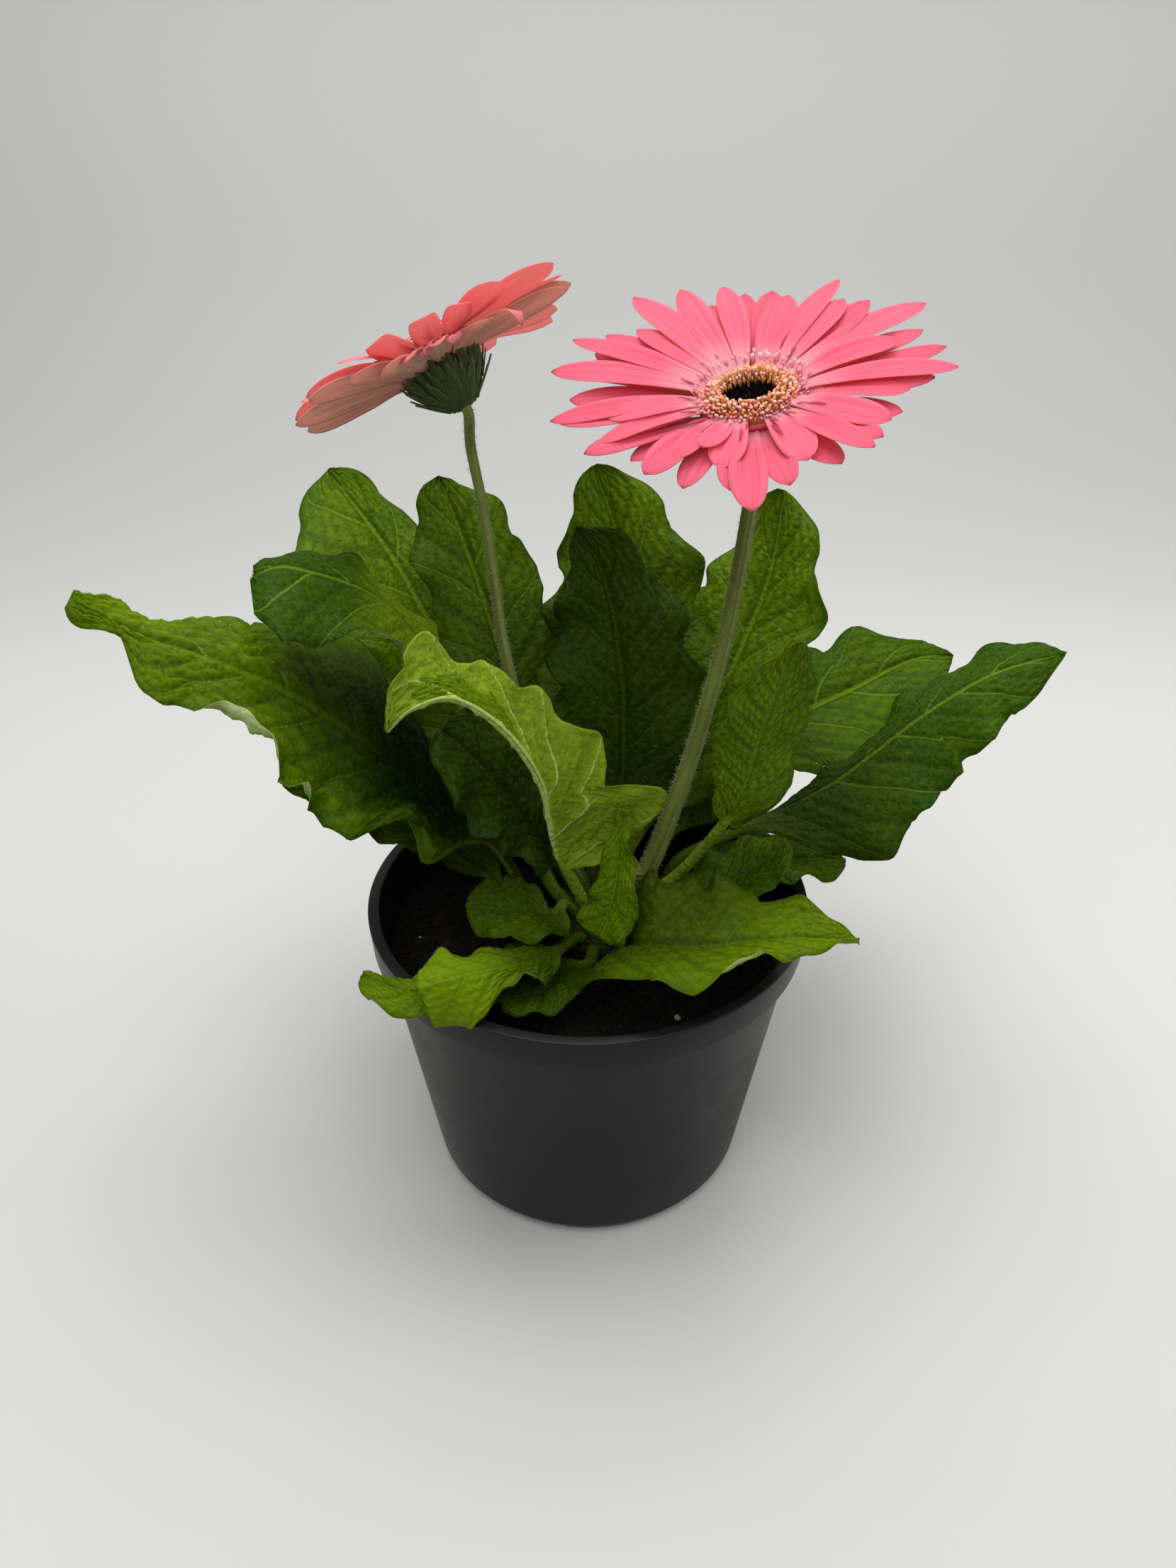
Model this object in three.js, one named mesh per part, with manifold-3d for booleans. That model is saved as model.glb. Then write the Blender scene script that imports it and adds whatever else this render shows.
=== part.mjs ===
// A gerbera in its nursery pot: a rosette of lobed leaves and two pink blooms on bare stems, which all
// rise from one crown in the potting soil.
// Millimetres, +Z up. The origin is on the surface that the pot stands on, on the pot's axis, and the
// plant's front is -Y. Azimuths run from +X towards +Y, in degrees.
import * as THREE from "three";
import { mergeVertices } from "three/addons/utils/BufferGeometryUtils.js";
import Module from "manifold-3d";

const wasm = await Module();
wasm.setup();

// ---- Driving dimensions ----

const SEAT_GAP = 0.3; // clearance that touching pieces keep

const POT_RIM_RADIUS = 75;
const POT_BASE_RADIUS = 56;
const POT_HEIGHT = 108;
const POT_WALL = 1.6;
const POT_FLOOR = 2;
const RIM_BAND_HEIGHT = 12;
const RIM_BAND_STEP = 2.2; // how far the rim band stands out from the wall under it
const POT_SIDES = 40;
const FOOT_SLOTS = 4; // shallow gaps under the bottom edge that let water out
const FOOT_SLOT_WIDTH = 26;
const FOOT_SLOT_HEIGHT = 2.4;
const FOOT_SLOT_DEPTH = 11;
const FOOT_SLOT_AZIMUTH = 248;
const DRAIN_RADIUS = 4;
const DRAIN_INSET = 10; // from the base's edge to the middle of a drain hole
const WALL_FOOT = 5; // where the rounded foot of the pot turns into its straight wall

const SOIL_TOP = 91;
const SOIL_SIDES = 24;

const CROWN_CENTRE = [4, 2, 90];
const CROWN_RADIUS = 16;

const LEAF_THICKNESS = 0.8;
const MIDRIB_DEPTH = 1.6; // how far the midrib stands out below a blade's foot
const PETIOLE_RADIUS = 2.3;
const PETIOLE_TIP_RADIUS = 1.1;
const ROOT_RUN = 9; // leaves and flower stems leave the crown straight for this far

const BLOOM_HUB_RADIUS = 12;
const STEM_SIDES = 8;
const STEM_STEPS = 13;

// ---- Helpers ----

const radians = THREE.MathUtils.degToRad;
const vec = (p) => new THREE.Vector3(...p);
const mix = (a, b, t) => a + (b - a) * t;

// A number from -1 to 1 that looks random and is the same on every run.
function scatter(i, k) {
  const x = Math.sin(i * 127.1 + k * 311.7) * 43758.5453;
  return 2 * (x - Math.floor(x)) - 1;
}

const smooth = (t) => {
  const c = Math.min(1, Math.max(0, t));
  return c * c * (3 - 2 * c);
};

// The direction with this azimuth and elevation.
function heading(azimuth, elevation) {
  const a = radians(azimuth);
  const e = radians(elevation);
  return new THREE.Vector3(Math.cos(a) * Math.cos(e), Math.sin(a) * Math.cos(e), Math.sin(e));
}

function geometryOf(points, triangles) {
  const flat = points.flatMap((p) => [p.x, p.y, p.z]);
  return new THREE.BufferGeometry()
    .setAttribute("position", new THREE.Float32BufferAttribute(flat, 3))
    .setIndex(triangles.flat());
}

// A closed skin over two faces, each a list of rows with the same number of points. Both faces are cut
// into triangles alike, so that a thin waved blade keeps its thickness.
function bladeGeometry(topRows, bottomRows) {
  const rows = topRows.length;
  const across = topRows[0].length;
  const points = [...topRows.flat(), ...bottomRows.flat()];
  const top = (i, k) => i * across + k;
  const bottom = (i, k) => rows * across + i * across + k;
  const triangles = [];
  const quad = (a, b, c, d) => triangles.push([a, c, b], [a, d, c]);
  for (let i = 0; i < rows - 1; i += 1) {
    for (let k = 0; k < across - 1; k += 1) {
      quad(top(i, k), top(i + 1, k), top(i + 1, k + 1), top(i, k + 1));
      triangles.push([bottom(i, k), bottom(i + 1, k), bottom(i + 1, k + 1)]);
      triangles.push([bottom(i, k), bottom(i + 1, k + 1), bottom(i, k + 1)]);
    }
    quad(bottom(i, 0), bottom(i + 1, 0), top(i + 1, 0), top(i, 0));
    const e = across - 1;
    quad(top(i, e), top(i + 1, e), bottom(i + 1, e), bottom(i, e));
  }
  for (let k = 0; k < across - 1; k += 1) {
    quad(top(0, k), top(0, k + 1), bottom(0, k + 1), bottom(0, k));
    const n = rows - 1;
    quad(bottom(n, k), bottom(n, k + 1), top(n, k + 1), top(n, k));
  }
  return geometryOf(points, triangles);
}

// A closed skin over rings of points, with a flat fan at each end.
function ringGeometry(rings, startCentre, endCentre) {
  const around = rings[0].length;
  const points = [...rings.flat(), startCentre, endCentre];
  const start = points.length - 2;
  const end = points.length - 1;
  const last = (rings.length - 1) * around;
  const triangles = [];
  for (let j = 0; j < around; j += 1) {
    const next = (j + 1) % around;
    for (let i = 0; i < rings.length - 1; i += 1) {
      const a = i * around;
      const b = a + around;
      triangles.push([a + j, a + next, b + next], [a + j, b + next, b + j]);
    }
    triangles.push([start, next, j], [end, last + j, last + next]);
  }
  return geometryOf(points, triangles);
}

function solidOf(geometry) {
  const bare = geometry.clone();
  bare.deleteAttribute("normal");
  bare.deleteAttribute("uv");
  const merged = mergeVertices(bare, 1e-4);
  return new wasm.Manifold(
    new wasm.Mesh({
      numProp: 3,
      vertProperties: merged.attributes.position.array,
      triVerts: new Uint32Array(merged.index.array),
    }),
  );
}

function geometryOfSolid(solid) {
  const mesh = solid.getMesh();
  return new THREE.BufferGeometry()
    .setAttribute("position", new THREE.BufferAttribute(mesh.vertProperties, 3))
    .setIndex(new THREE.BufferAttribute(mesh.triVerts, 1));
}

const joined = (geometries) => geometryOfSolid(wasm.Manifold.union(geometries.map(solidOf)));

// Points and unit tangents at these shares of a smooth curve through the given points.
function samplesAlong(points, shares) {
  const curve = new THREE.CatmullRomCurve3(points, false, "catmullrom", 0.5);
  curve.arcLengthDivisions = 400;
  return shares.map((t) => ({ at: curve.getPointAt(t), along: curve.getTangentAt(t) }));
}

// ---- Materials ----

const finish = (color, roughness) => new THREE.MeshStandardMaterial({ color, roughness, metalness: 0 });
const MATERIALS = {
  pot: finish(0x1c1c1c, 0.55),
  soil: finish(0x1a120c, 1),
  crown: finish(0x4d5a2b, 0.8),
  leaf: finish(0x2f5a12, 0.5),
  stem: finish(0x66753a, 0.6),
  rays: finish(0xf06a86, 0.55),
  florets: finish(0xe8bf7a, 0.7),
  eye: finish(0x2b0f1c, 0.8),
  bracts: finish(0x3a4a2a, 0.7),
};

const group = new THREE.Group();

function addNode(name, geometry, material) {
  const mesh = new THREE.Mesh(geometry, material);
  mesh.name = name;
  group.add(mesh);
  return mesh;
}

// ---- Pot ----

const wallRadius = (z) => mix(POT_BASE_RADIUS, POT_RIM_RADIUS - RIM_BAND_STEP, z / POT_HEIGHT);

function potGeometry() {
  const bandFoot = POT_HEIGHT - RIM_BAND_HEIGHT;
  const inner = (z) => wallRadius(z) - POT_WALL;
  const floor = POT_FLOOR + FOOT_SLOT_HEIGHT;
  const profile = [
    [0, 0],
    [POT_BASE_RADIUS - 5, 0],
    [POT_BASE_RADIUS - 1, 1.2],
    [wallRadius(WALL_FOOT), WALL_FOOT],
    [wallRadius(bandFoot), bandFoot],
    [POT_RIM_RADIUS - 0.6, bandFoot + 1],
    [POT_RIM_RADIUS, POT_HEIGHT - 1],
    [POT_RIM_RADIUS - 0.8, POT_HEIGHT],
    [inner(POT_HEIGHT) + 0.8, POT_HEIGHT],
    [inner(POT_HEIGHT), POT_HEIGHT - 1],
    [inner(WALL_FOOT + 1), WALL_FOOT + 1],
    [inner(WALL_FOOT + 1) - 3, floor],
    [0, floor],
  ].map(([r, z]) => new THREE.Vector2(r, z));
  const shell = solidOf(new THREE.LatheGeometry(profile, POT_SIDES).rotateX(Math.PI / 2));
  const past = 8; // how far a cutter reaches beyond the skin it cuts
  const cuts = [];
  for (let i = 0; i < FOOT_SLOTS; i += 1) {
    const turn = radians(FOOT_SLOT_AZIMUTH + (i * 360) / FOOT_SLOTS);
    const reach = POT_BASE_RADIUS + (past - FOOT_SLOT_DEPTH) / 2;
    const slot = new THREE.BoxGeometry(FOOT_SLOT_DEPTH + past, FOOT_SLOT_WIDTH, 2 * FOOT_SLOT_HEIGHT);
    const drain = new THREE.CylinderGeometry(DRAIN_RADIUS, DRAIN_RADIUS, floor + 2 * past, 12);
    drain.rotateX(Math.PI / 2).translate(POT_BASE_RADIUS - DRAIN_INSET, 0, 0);
    cuts.push(solidOf(slot.translate(reach, 0, 0).rotateZ(turn)));
    cuts.push(solidOf(drain.rotateZ(turn)));
  }
  return geometryOfSolid(shell.subtract(wasm.Manifold.union(cuts)));
}

addNode("pot", potGeometry(), MATERIALS.pot);

// ---- Soil ----

// The soil fills the pot, with a lumpy top and a round pit that the crown sits in.
function soilGeometry() {
  const outer = (z) => wallRadius(z) - POT_WALL - 2 * SEAT_GAP;
  const floor = POT_FLOOR + FOOT_SLOT_HEIGHT + SEAT_GAP;
  const ring = (radius, heightAt) =>
    Array.from({ length: SOIL_SIDES }, (_, j) => {
      const a = (j / SOIL_SIDES) * 2 * Math.PI;
      return new THREE.Vector3(radius * Math.cos(a), radius * Math.sin(a), heightAt(j));
    });
  const lump = (row) => (j) => SOIL_TOP + 1.3 * scatter(j + 40 * row, 7);
  const rings = [
    ring(outer(10) - 5, () => floor),
    ring(outer(10), () => 10),
    ring(outer(SOIL_TOP - 2), () => SOIL_TOP - 2),
    ring(62, lump(1)),
    ring(50, lump(2)),
    ring(37, lump(3)),
    ring(25, lump(4)),
  ];
  const base = new THREE.Vector3(0, 0, floor);
  const peak = new THREE.Vector3(0, 0, SOIL_TOP);
  const body = solidOf(ringGeometry(rings, base, peak));
  const pit = new THREE.SphereGeometry(CROWN_RADIUS + 2 * SEAT_GAP, 14, 9);
  return geometryOfSolid(body.subtract(solidOf(pit.translate(...CROWN_CENTRE))));
}

addNode("soil", soilGeometry(), MATERIALS.soil);
addNode(
  "crown",
  new THREE.SphereGeometry(CROWN_RADIUS, 14, 9).translate(...CROWN_CENTRE),
  MATERIALS.crown,
);

// ---- Leaves ----

// Each leaf leaves the crown at an azimuth and an elevation and then follows its way, through points
// that start where the petiole has come clear of the crown. stalk is the petiole's share of the whole
// length, width is the blade's at its broadest, and broadest says where along the blade that is. Angles
// are in degrees, and a pair gives the value at the blade's foot and at its tip: roll turns the blade
// about its midrib, fold lifts a half of the blade from the midrib, and curl bends it on towards its
// margin. wave is how far the margin ripples, and turns how often.
const LEAF_PLAIN = {
  stalk: 0.2,
  width: 56,
  broadest: 0.6,
  lobes: 5,
  cut: 0.24,
  roll: [0, 0],
  left: { fold: [30, 12], curl: [-20, -30] },
  right: { fold: [30, 12], curl: [-20, -30] },
  wave: 2.6,
  turns: 3.3,
};

const LEAVES = [
  {
    name: "leaf_left_long",
    root: [183, 26],
    way: [[-31, -2, 129], [-52, -6, 154], [-91, -14, 193], [-127, -22, 215], [-144, -26, 227]],
    width: 70,
    broadest: 0.42,
    lobes: 6,
    roll: [-24, -18],
    left: { fold: [-2, -6], curl: [-18, -10] },
    right: { fold: [-12, -8], curl: [-14, -20] },
  },
  {
    name: "leaf_front_arch",
    root: [265, 52],
    way: [
      [-7, -13, 136], [-14, -26, 167], [-23, -40, 193],
      [-35, -52, 210], [-45, -62, 213], [-50, -70, 204],
    ],
    stalk: 0.17,
    width: 62,
    broadest: 0.4,
    lobes: 6,
    left: { fold: [58, 46], curl: [-22, -30] },
    right: { fold: [78, 64], curl: [0, 0] },
  },
  {
    name: "leaf_left_mid",
    root: [184, 50],
    way: [[-26, 10, 138], [-41, 12, 173], [-53, 10, 199], [-66, 6, 216], [-90, 0, 226], [-101, -2, 219]],
    stalk: 0.3,
    width: 44,
    roll: [-20, -20],
    right: { fold: [-20, -20], curl: [-10, -10] },
  },
  {
    name: "leaf_back_left",
    root: [146, 32],
    way: [[-31, 50, 137], [-55, 76, 167], [-72, 94, 191], [-87, 106, 208], [-97, 112, 219]],
    stalk: 0.13,
    width: 68,
  },
  {
    name: "leaf_back_left_inner",
    root: [124, 52],
    way: [[-21, 42, 142], [-33, 62, 174], [-42, 76, 198], [-53, 90, 224]],
    stalk: 0.13,
    width: 52,
  },
  {
    name: "leaf_back",
    root: [94, 48],
    way: [[10, 40, 134], [14, 60, 170], [12, 78, 200], [2, 90, 228]],
    stalk: 0.13,
    width: 68,
    broadest: 0.45,
  },
  {
    name: "leaf_back_inner",
    root: [80, 72],
    way: [[11, 20, 132], [12, 30, 163], [9, 40, 190], [4, 45, 208], [-4, 48, 221]],
    stalk: 0.13,
    width: 60,
    broadest: 0.4,
  },
  {
    name: "leaf_back_right",
    root: [60, 50],
    way: [[33, 42, 133], [54, 66, 164], [67, 84, 192], [71, 96, 217]],
    stalk: 0.13,
    width: 68,
    broadest: 0.45,
  },
  {
    name: "leaf_right_long",
    root: [16, 28],
    way: [[32, 8, 116], [56, 14, 126], [85, 20, 141], [113, 28, 161], [136, 32, 175], [160, 34, 182]],
    stalk: 0.27,
    width: 64,
    broadest: 0.45,
    roll: [24, 20],
    left: { fold: [-20, -14], curl: [-10, -14] },
    right: { fold: [-8, -6], curl: [-14, -14] },
  },
  {
    name: "leaf_right_back",
    root: [42, 30],
    way: [[39, 45, 119], [70, 70, 132], [103, 90, 139], [129, 100, 147], [145, 104, 146]],
    stalk: 0.13,
    width: 84,
    broadest: 0.45,
    roll: [26, 20],
  },
  {
    name: "leaf_right_young",
    root: [335, 50],
    way: [[31, -6, 122], [44, -14, 153], [48, -20, 182], [53, -24, 203], [58, -25, 215]],
    stalk: 0.36,
    width: 28,
    broadest: 0.4,
    cut: 0.12,
    roll: [-42, -42],
    wave: 1.2,
  },
  {
    name: "leaf_front_right_low",
    root: [292, 24],
    way: [[16, -34, 112], [38, -42, 118], [62, -43, 122], [86, -47, 124]],
    stalk: 0.04,
    width: 57,
    broadest: 0.34,
    left: { fold: [30, 24], curl: [-6, 0] },
    right: { fold: [10, 4], curl: [-20, -20] },
  },
  {
    name: "leaf_front_left_low",
    root: [244, 26],
    way: [[-14, -40, 112], [-27, -58, 121], [-37, -70, 119], [-40, -78, 113]],
    width: 40,
    broadest: 0.5,
  },
  {
    name: "leaf_left_low",
    root: [213, 22],
    way: [[-25, -25, 106], [-43, -38, 111], [-57, -46, 114], [-70, -50, 113]],
    width: 34,
  },
  {
    name: "leaf_left_inner",
    root: [215, 70],
    way: [[-14, -6, 131], [-25, -8, 150], [-36, -11, 168], [-45, -13, 179]],
    width: 46,
    roll: [-40, -40],
  },
  {
    name: "leaf_left_shaded",
    root: [222, 50],
    way: [[-12, -16, 107], [-20, -19, 112], [-31, -18, 112]],
    width: 26,
  },
  {
    name: "leaf_right_low",
    root: [352, 20],
    way: [[42, 6, 110], [62, 10, 113], [77, 12, 113], [90, 14, 111]],
    width: 34,
  },
  {
    name: "leaf_right_inner",
    root: [322, 26],
    way: [[31, -12, 110], [48, -10, 119], [60, -6, 127], [66, -3, 132]],
    width: 36,
  },
  {
    name: "leaf_left_under",
    root: [196, 16],
    way: [[-36, 8, 110], [-64, 12, 126], [-90, 8, 144], [-102, 4, 150]],
    width: 38,
    roll: [-20, -20],
  },
  {
    name: "leaf_front_low",
    root: [262, 12],
    way: [[-4, -30, 99], [-14, -46, 103], [-26, -57, 106]],
    width: 26,
  },
  {
    name: "leaf_rear_left",
    root: [122, 24],
    way: [[-26, 46, 112], [-48, 74, 126], [-68, 98, 135], [-84, 118, 132]],
    width: 54,
  },
  {
    name: "leaf_rear",
    root: [96, 22],
    way: [[2, 46, 110], [4, 78, 124], [4, 108, 138], [4, 132, 144]],
    width: 54,
  },
  {
    name: "leaf_rear_right",
    root: [70, 26],
    way: [[23, 48, 110], [40, 80, 117], [60, 108, 122], [76, 128, 116]],
    width: 52,
  },
];

// The share of a blade's greatest width at b, from 0 at its foot to 1 at its tip.
function outline(b, broadest) {
  const foot = 1.15 * broadest;
  const tip = 1.15 * (1 - broadest);
  return Math.pow(b / broadest, foot) * Math.pow((1 - b) / (1 - broadest), tip);
}

// How far a blade's margin is cut in at b: 0 at a lobe's point and 1 in the bay between two lobes.
const bay = (b, lobes, shift) => Math.abs(2 * ((((b * lobes + shift) % 1) + 1) % 1) - 1);

// The half blade's section at share a of its width: how far out and up it is, and its normal.
function halfSection(a, fold, curl) {
  const turn = Math.abs(curl) < 1e-3 ? 1e-3 : curl;
  const here = fold + turn * a;
  return {
    out: (Math.sin(here) - Math.sin(fold)) / turn,
    up: (Math.cos(fold) - Math.cos(here)) / turn,
    lean: here,
  };
}

function leafGeometry(given, index) {
  const leaf = { ...LEAF_PLAIN, ...given };
  const phase = 0.37 * index;
  const rootDirection = heading(...leaf.root);
  const start = vec(CROWN_CENTRE).addScaledVector(rootDirection, CROWN_RADIUS + SEAT_GAP);
  const clear = start.clone().addScaledVector(rootDirection, ROOT_RUN);
  const points = [start, clear, ...leaf.way.map(vec)];
  const tip = points.at(-1);
  const compass = Math.atan2(tip.y - start.y, tip.x - start.x);
  const level = new THREE.Vector3(-Math.sin(compass), Math.cos(compass), 0);

  const bladeSteps = 2 * leaf.lobes;
  const shares = [0, leaf.stalk * 0.3, leaf.stalk * 0.65];
  for (let i = 0; i <= bladeSteps; i += 1) shares.push(mix(leaf.stalk, 1, i / bladeSteps));
  const topRows = [];
  const bottomRows = [];
  samplesAlong(points, shares).forEach(({ at, along }, row) => {
    const share = shares[row];
    const b = Math.max(0, (share - leaf.stalk) / (1 - leaf.stalk));
    const roll = radians(mix(...leaf.roll, b));
    const side = level.clone().addScaledVector(along, -level.dot(along)).normalize();
    const up = along.clone().cross(side);
    side.applyAxisAngle(along, roll);
    up.applyAxisAngle(along, roll);
    const stalkRadius = mix(PETIOLE_RADIUS, PETIOLE_TIP_RADIUS, share);
    const grown = smooth(b * bladeSteps * 0.5);
    const topRow = [];
    const bottomRow = [];
    [-1, -0.5, 0, 0.5, 1].forEach((v, k) => {
      const hand = v < 0 ? leaf.left : leaf.right;
      const a = Math.abs(v);
      const shift = v < 0 ? 0.5 : 0;
      const whole = (leaf.width / 2) * outline(Math.min(b, 0.985), leaf.broadest);
      const reach = Math.max(1.6, whole * (1 - leaf.cut * bay(b, leaf.lobes, shift)));
      const half = halfSection(a, radians(mix(...hand.fold, b)), radians(mix(...hand.curl, b)));
      const ripple = leaf.wave * a * a * Math.sin(2 * Math.PI * (leaf.turns * b + phase + 0.7 * shift));
      const sign = v < 0 ? 1 : -1;
      const out = sign * (reach * half.out - ripple * Math.sin(half.lean));
      const lift = reach * half.up + ripple * Math.cos(half.lean);
      const rib = v === 0 ? MIDRIB_DEPTH * (1 - b) : 0;
      const thick = LEAF_THICKNESS + rib;
      const ringAngle = radians(162 - 36 * k);
      const ringOut = -sign * stalkRadius * Math.abs(Math.cos(ringAngle));
      const bladeTop = [out, lift];
      const bladeBottom = [
        out + sign * thick * Math.sin(half.lean) * a,
        lift - thick * Math.cos(half.lean),
      ];
      const stalkTop = [-ringOut, 0.8 * stalkRadius * Math.sin(ringAngle)];
      const stalkBottom = [-ringOut, -stalkRadius * Math.sin(ringAngle)];
      const place = ([x, z]) => at.clone().addScaledVector(side, x).addScaledVector(up, z);
      const blend = (p, q) => [mix(p[0], q[0], grown), mix(p[1], q[1], grown)];
      topRow.push(place(blend(stalkTop, bladeTop)));
      bottomRow.push(place(blend(stalkBottom, bladeBottom)));
    });
    topRows.push(topRow);
    bottomRows.push(bottomRow);
  });
  return bladeGeometry(topRows, bottomRows);
}

LEAVES.forEach((leaf, index) => addNode(leaf.name, leafGeometry(leaf, index), MATERIALS.leaf));

// ---- Blooms and their stems ----

const BLOOMS = [
  {
    name: "bloom_right",
    centre: [44, -5, 276.5],
    facing: [-0.19, -0.28, 0.94],
    span: 110,
    lift: [7, -5],
    root: [10, 62],
    stem: [3.4, 2.5],
    way: [[21, 5, 115], [31, 10, 144], [36, 12, 162], [40, 12, 181], [43, 12, 198], [46, 9, 226]],
  },
  {
    name: "bloom_left",
    centre: [-46, 45, 276],
    facing: [-0.5, 0.36, 0.79],
    span: 98,
    lift: [10, -6],
    root: [150, 62],
    stem: [3, 2.1],
    way: [[-15, 20, 130], [-22, 30, 156], [-28, 37, 180], [-31, 41, 205], [-34, 44, 230], [-37, 46, 248]],
  },
];

const BRACTS = 16;
const BRACT_REACH = 16.4; // how far out a bract's tip stands
const CUP_TOP = -1.2;
const CUP_PROFILE = [
  [3.6, -16.4],
  [7.4, -15.6],
  [10.4, -12.6],
  [12, -8],
  [12.8, -4],
];

// The green cup of overlapping bracts under a bloom: ridged, with a pointed tip to each bract.
function involucreGeometry() {
  const around = 2 * BRACTS;
  const ring = (at) => Array.from({ length: around }, (_, j) => at(j, (j / around) * 2 * Math.PI));
  const polar = (r, a, z) => new THREE.Vector3(r * Math.cos(a), r * Math.sin(a), z);
  const rings = CUP_PROFILE.map(([r, z], i) =>
    ring((j, a) => polar(r * (j % 2 ? 1 - 0.016 * i : 1 + 0.016 * i), a, z)),
  );
  const reach = (j) => BRACT_REACH + 0.8 * scatter(j, 3);
  rings.push(ring((j, a) => (j % 2 ? polar(12.7, a, -2.6) : polar(reach(j), a, -1))));
  rings.push(ring((j, a) => polar(12.2, a, CUP_TOP)));
  return ringGeometry(rings, new THREE.Vector3(0, 0, CUP_PROFILE[0][1]), new THREE.Vector3(0, 0, CUP_TOP));
}

// One strap-shaped ray in the plane of x and z, from radius start outwards. rise is the pair of its
// angles above the flower's plane, at its foot and at its tip.
function rayGeometry({ start, length, width, rise, height, thick, steps }) {
  const rings = [];
  const at = new THREE.Vector3(start, 0, height);
  for (let i = 0; i <= steps; i += 1) {
    const t = i / steps;
    const lean = radians(mix(rise[0], rise[1], t));
    const half = (width / 2) * Math.min(1, 0.36 + 1.3 * t) * Math.pow(1 - Math.pow(t, 5), 0.5);
    const w = Math.max(0.7, half);
    const up = new THREE.Vector3(-Math.sin(lean), 0, Math.cos(lean));
    rings.push([
      at.clone().addScaledVector(up, thick * 0.5),
      at.clone().add(new THREE.Vector3(0, w, 0)).addScaledVector(up, 0.09 * w),
      at.clone().addScaledVector(up, -thick * 0.5),
      at.clone().add(new THREE.Vector3(0, -w, 0)).addScaledVector(up, 0.09 * w),
    ]);
    const next = radians(mix(rise[0], rise[1], (i + 0.5) / steps));
    at.x += (length / steps) * Math.cos(next);
    at.z += (length / steps) * Math.sin(next);
  }
  const centre = (ring) => ring[0].clone().add(ring[2]).multiplyScalar(0.5);
  const turned = rings.map((r) => [r[0], r[3], r[2], r[1]]);
  return ringGeometry(turned, centre(rings[0]), centre(rings.at(-1)));
}

const HUB_FOOT = -0.8;
const HUB_HEIGHT = 3;
const RAY_LAYERS = [
  { count: 17, share: 1, tilt: -4, width: 11.5, height: 0, seed: 1 },
  { count: 17, share: 0.94, tilt: 4, width: 11, height: 1.4, seed: 2 },
];
const INNER_RAYS = 14;
const INNER_RAY_LENGTH = 12;
const RAY_STEPS = 4;

// All the rays of one bloom, joined at the hub that they grow from.
function raysGeometry(bloom) {
  const hub = new THREE.CylinderGeometry(BLOOM_HUB_RADIUS, BLOOM_HUB_RADIUS - 1, HUB_HEIGHT, 20);
  const pieces = [hub.rotateX(Math.PI / 2).translate(0, 0, HUB_FOOT + HUB_HEIGHT / 2)];
  for (const layer of RAY_LAYERS) {
    for (let i = 0; i < layer.count; i += 1) {
      const n = i + 100 * layer.seed;
      const ray = rayGeometry({
        start: BLOOM_HUB_RADIUS - 1,
        length: (bloom.span / 2 - BLOOM_HUB_RADIUS) * layer.share * (1 + 0.06 * scatter(n, 1)),
        width: layer.width * (1 + 0.1 * scatter(n, 2)),
        rise: bloom.lift.map((x) => x + layer.tilt + 3 * scatter(n, 3)),
        height: layer.height,
        thick: 1,
        steps: RAY_STEPS,
      });
      const azimuth = ((i + 0.5 * layer.seed + 0.12 * scatter(n, 4)) / layer.count) * 2 * Math.PI;
      pieces.push(ray.rotateZ(azimuth));
    }
  }
  for (let i = 0; i < INNER_RAYS; i += 1) {
    const ray = rayGeometry({
      start: BLOOM_HUB_RADIUS - 1.4,
      length: INNER_RAY_LENGTH * (1 + 0.25 * scatter(i, 5)),
      width: 2.4,
      rise: [50, 30],
      height: HUB_FOOT + HUB_HEIGHT - 0.5,
      thick: 0.9,
      steps: 1,
    });
    pieces.push(ray.rotateZ(((i + 0.25 * scatter(i, 6)) / INNER_RAYS) * 2 * Math.PI));
  }
  return joined(pieces);
}

const DISC_FOOT = HUB_FOOT + HUB_HEIGHT + SEAT_GAP;
const DISC_RADIUS = 9.6;
const DISC_PLATE = 1.4; // the thickness of the plate that the florets stand on
const FLORET_RINGS = [
  { count: 26, radius: 8.9, lean: 30, height: 6.2 },
  { count: 20, radius: 7.3, lean: 18, height: 4.6 },
];
const EYE_RADIUS = 5.6;
const EYE_HEIGHT = 2.2;
const EYE_FOOT = DISC_FOOT + DISC_PLATE + SEAT_GAP;

// The disc's ring of small florets, each a tapered peg, on a shallow plate with a sunk middle.
function discGeometry() {
  const plate = new THREE.CylinderGeometry(DISC_RADIUS, DISC_RADIUS - 0.4, DISC_PLATE, 20);
  plate.rotateX(Math.PI / 2);
  const pieces = [plate.translate(0, 0, DISC_FOOT + DISC_PLATE / 2)];
  for (const ring of FLORET_RINGS) {
    for (let i = 0; i < ring.count; i += 1) {
      const height = ring.height * (1 + 0.15 * scatter(i, 8));
      const peg = new THREE.CylinderGeometry(0.8, 0.5, height, 3).rotateX(Math.PI / 2);
      peg.translate(0, 0, height / 2).rotateY(radians(ring.lean));
      peg.translate(ring.radius, 0, DISC_FOOT + DISC_PLATE / 2);
      pieces.push(peg.rotateZ((i / ring.count) * 2 * Math.PI));
    }
  }
  return joined(pieces);
}

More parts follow.
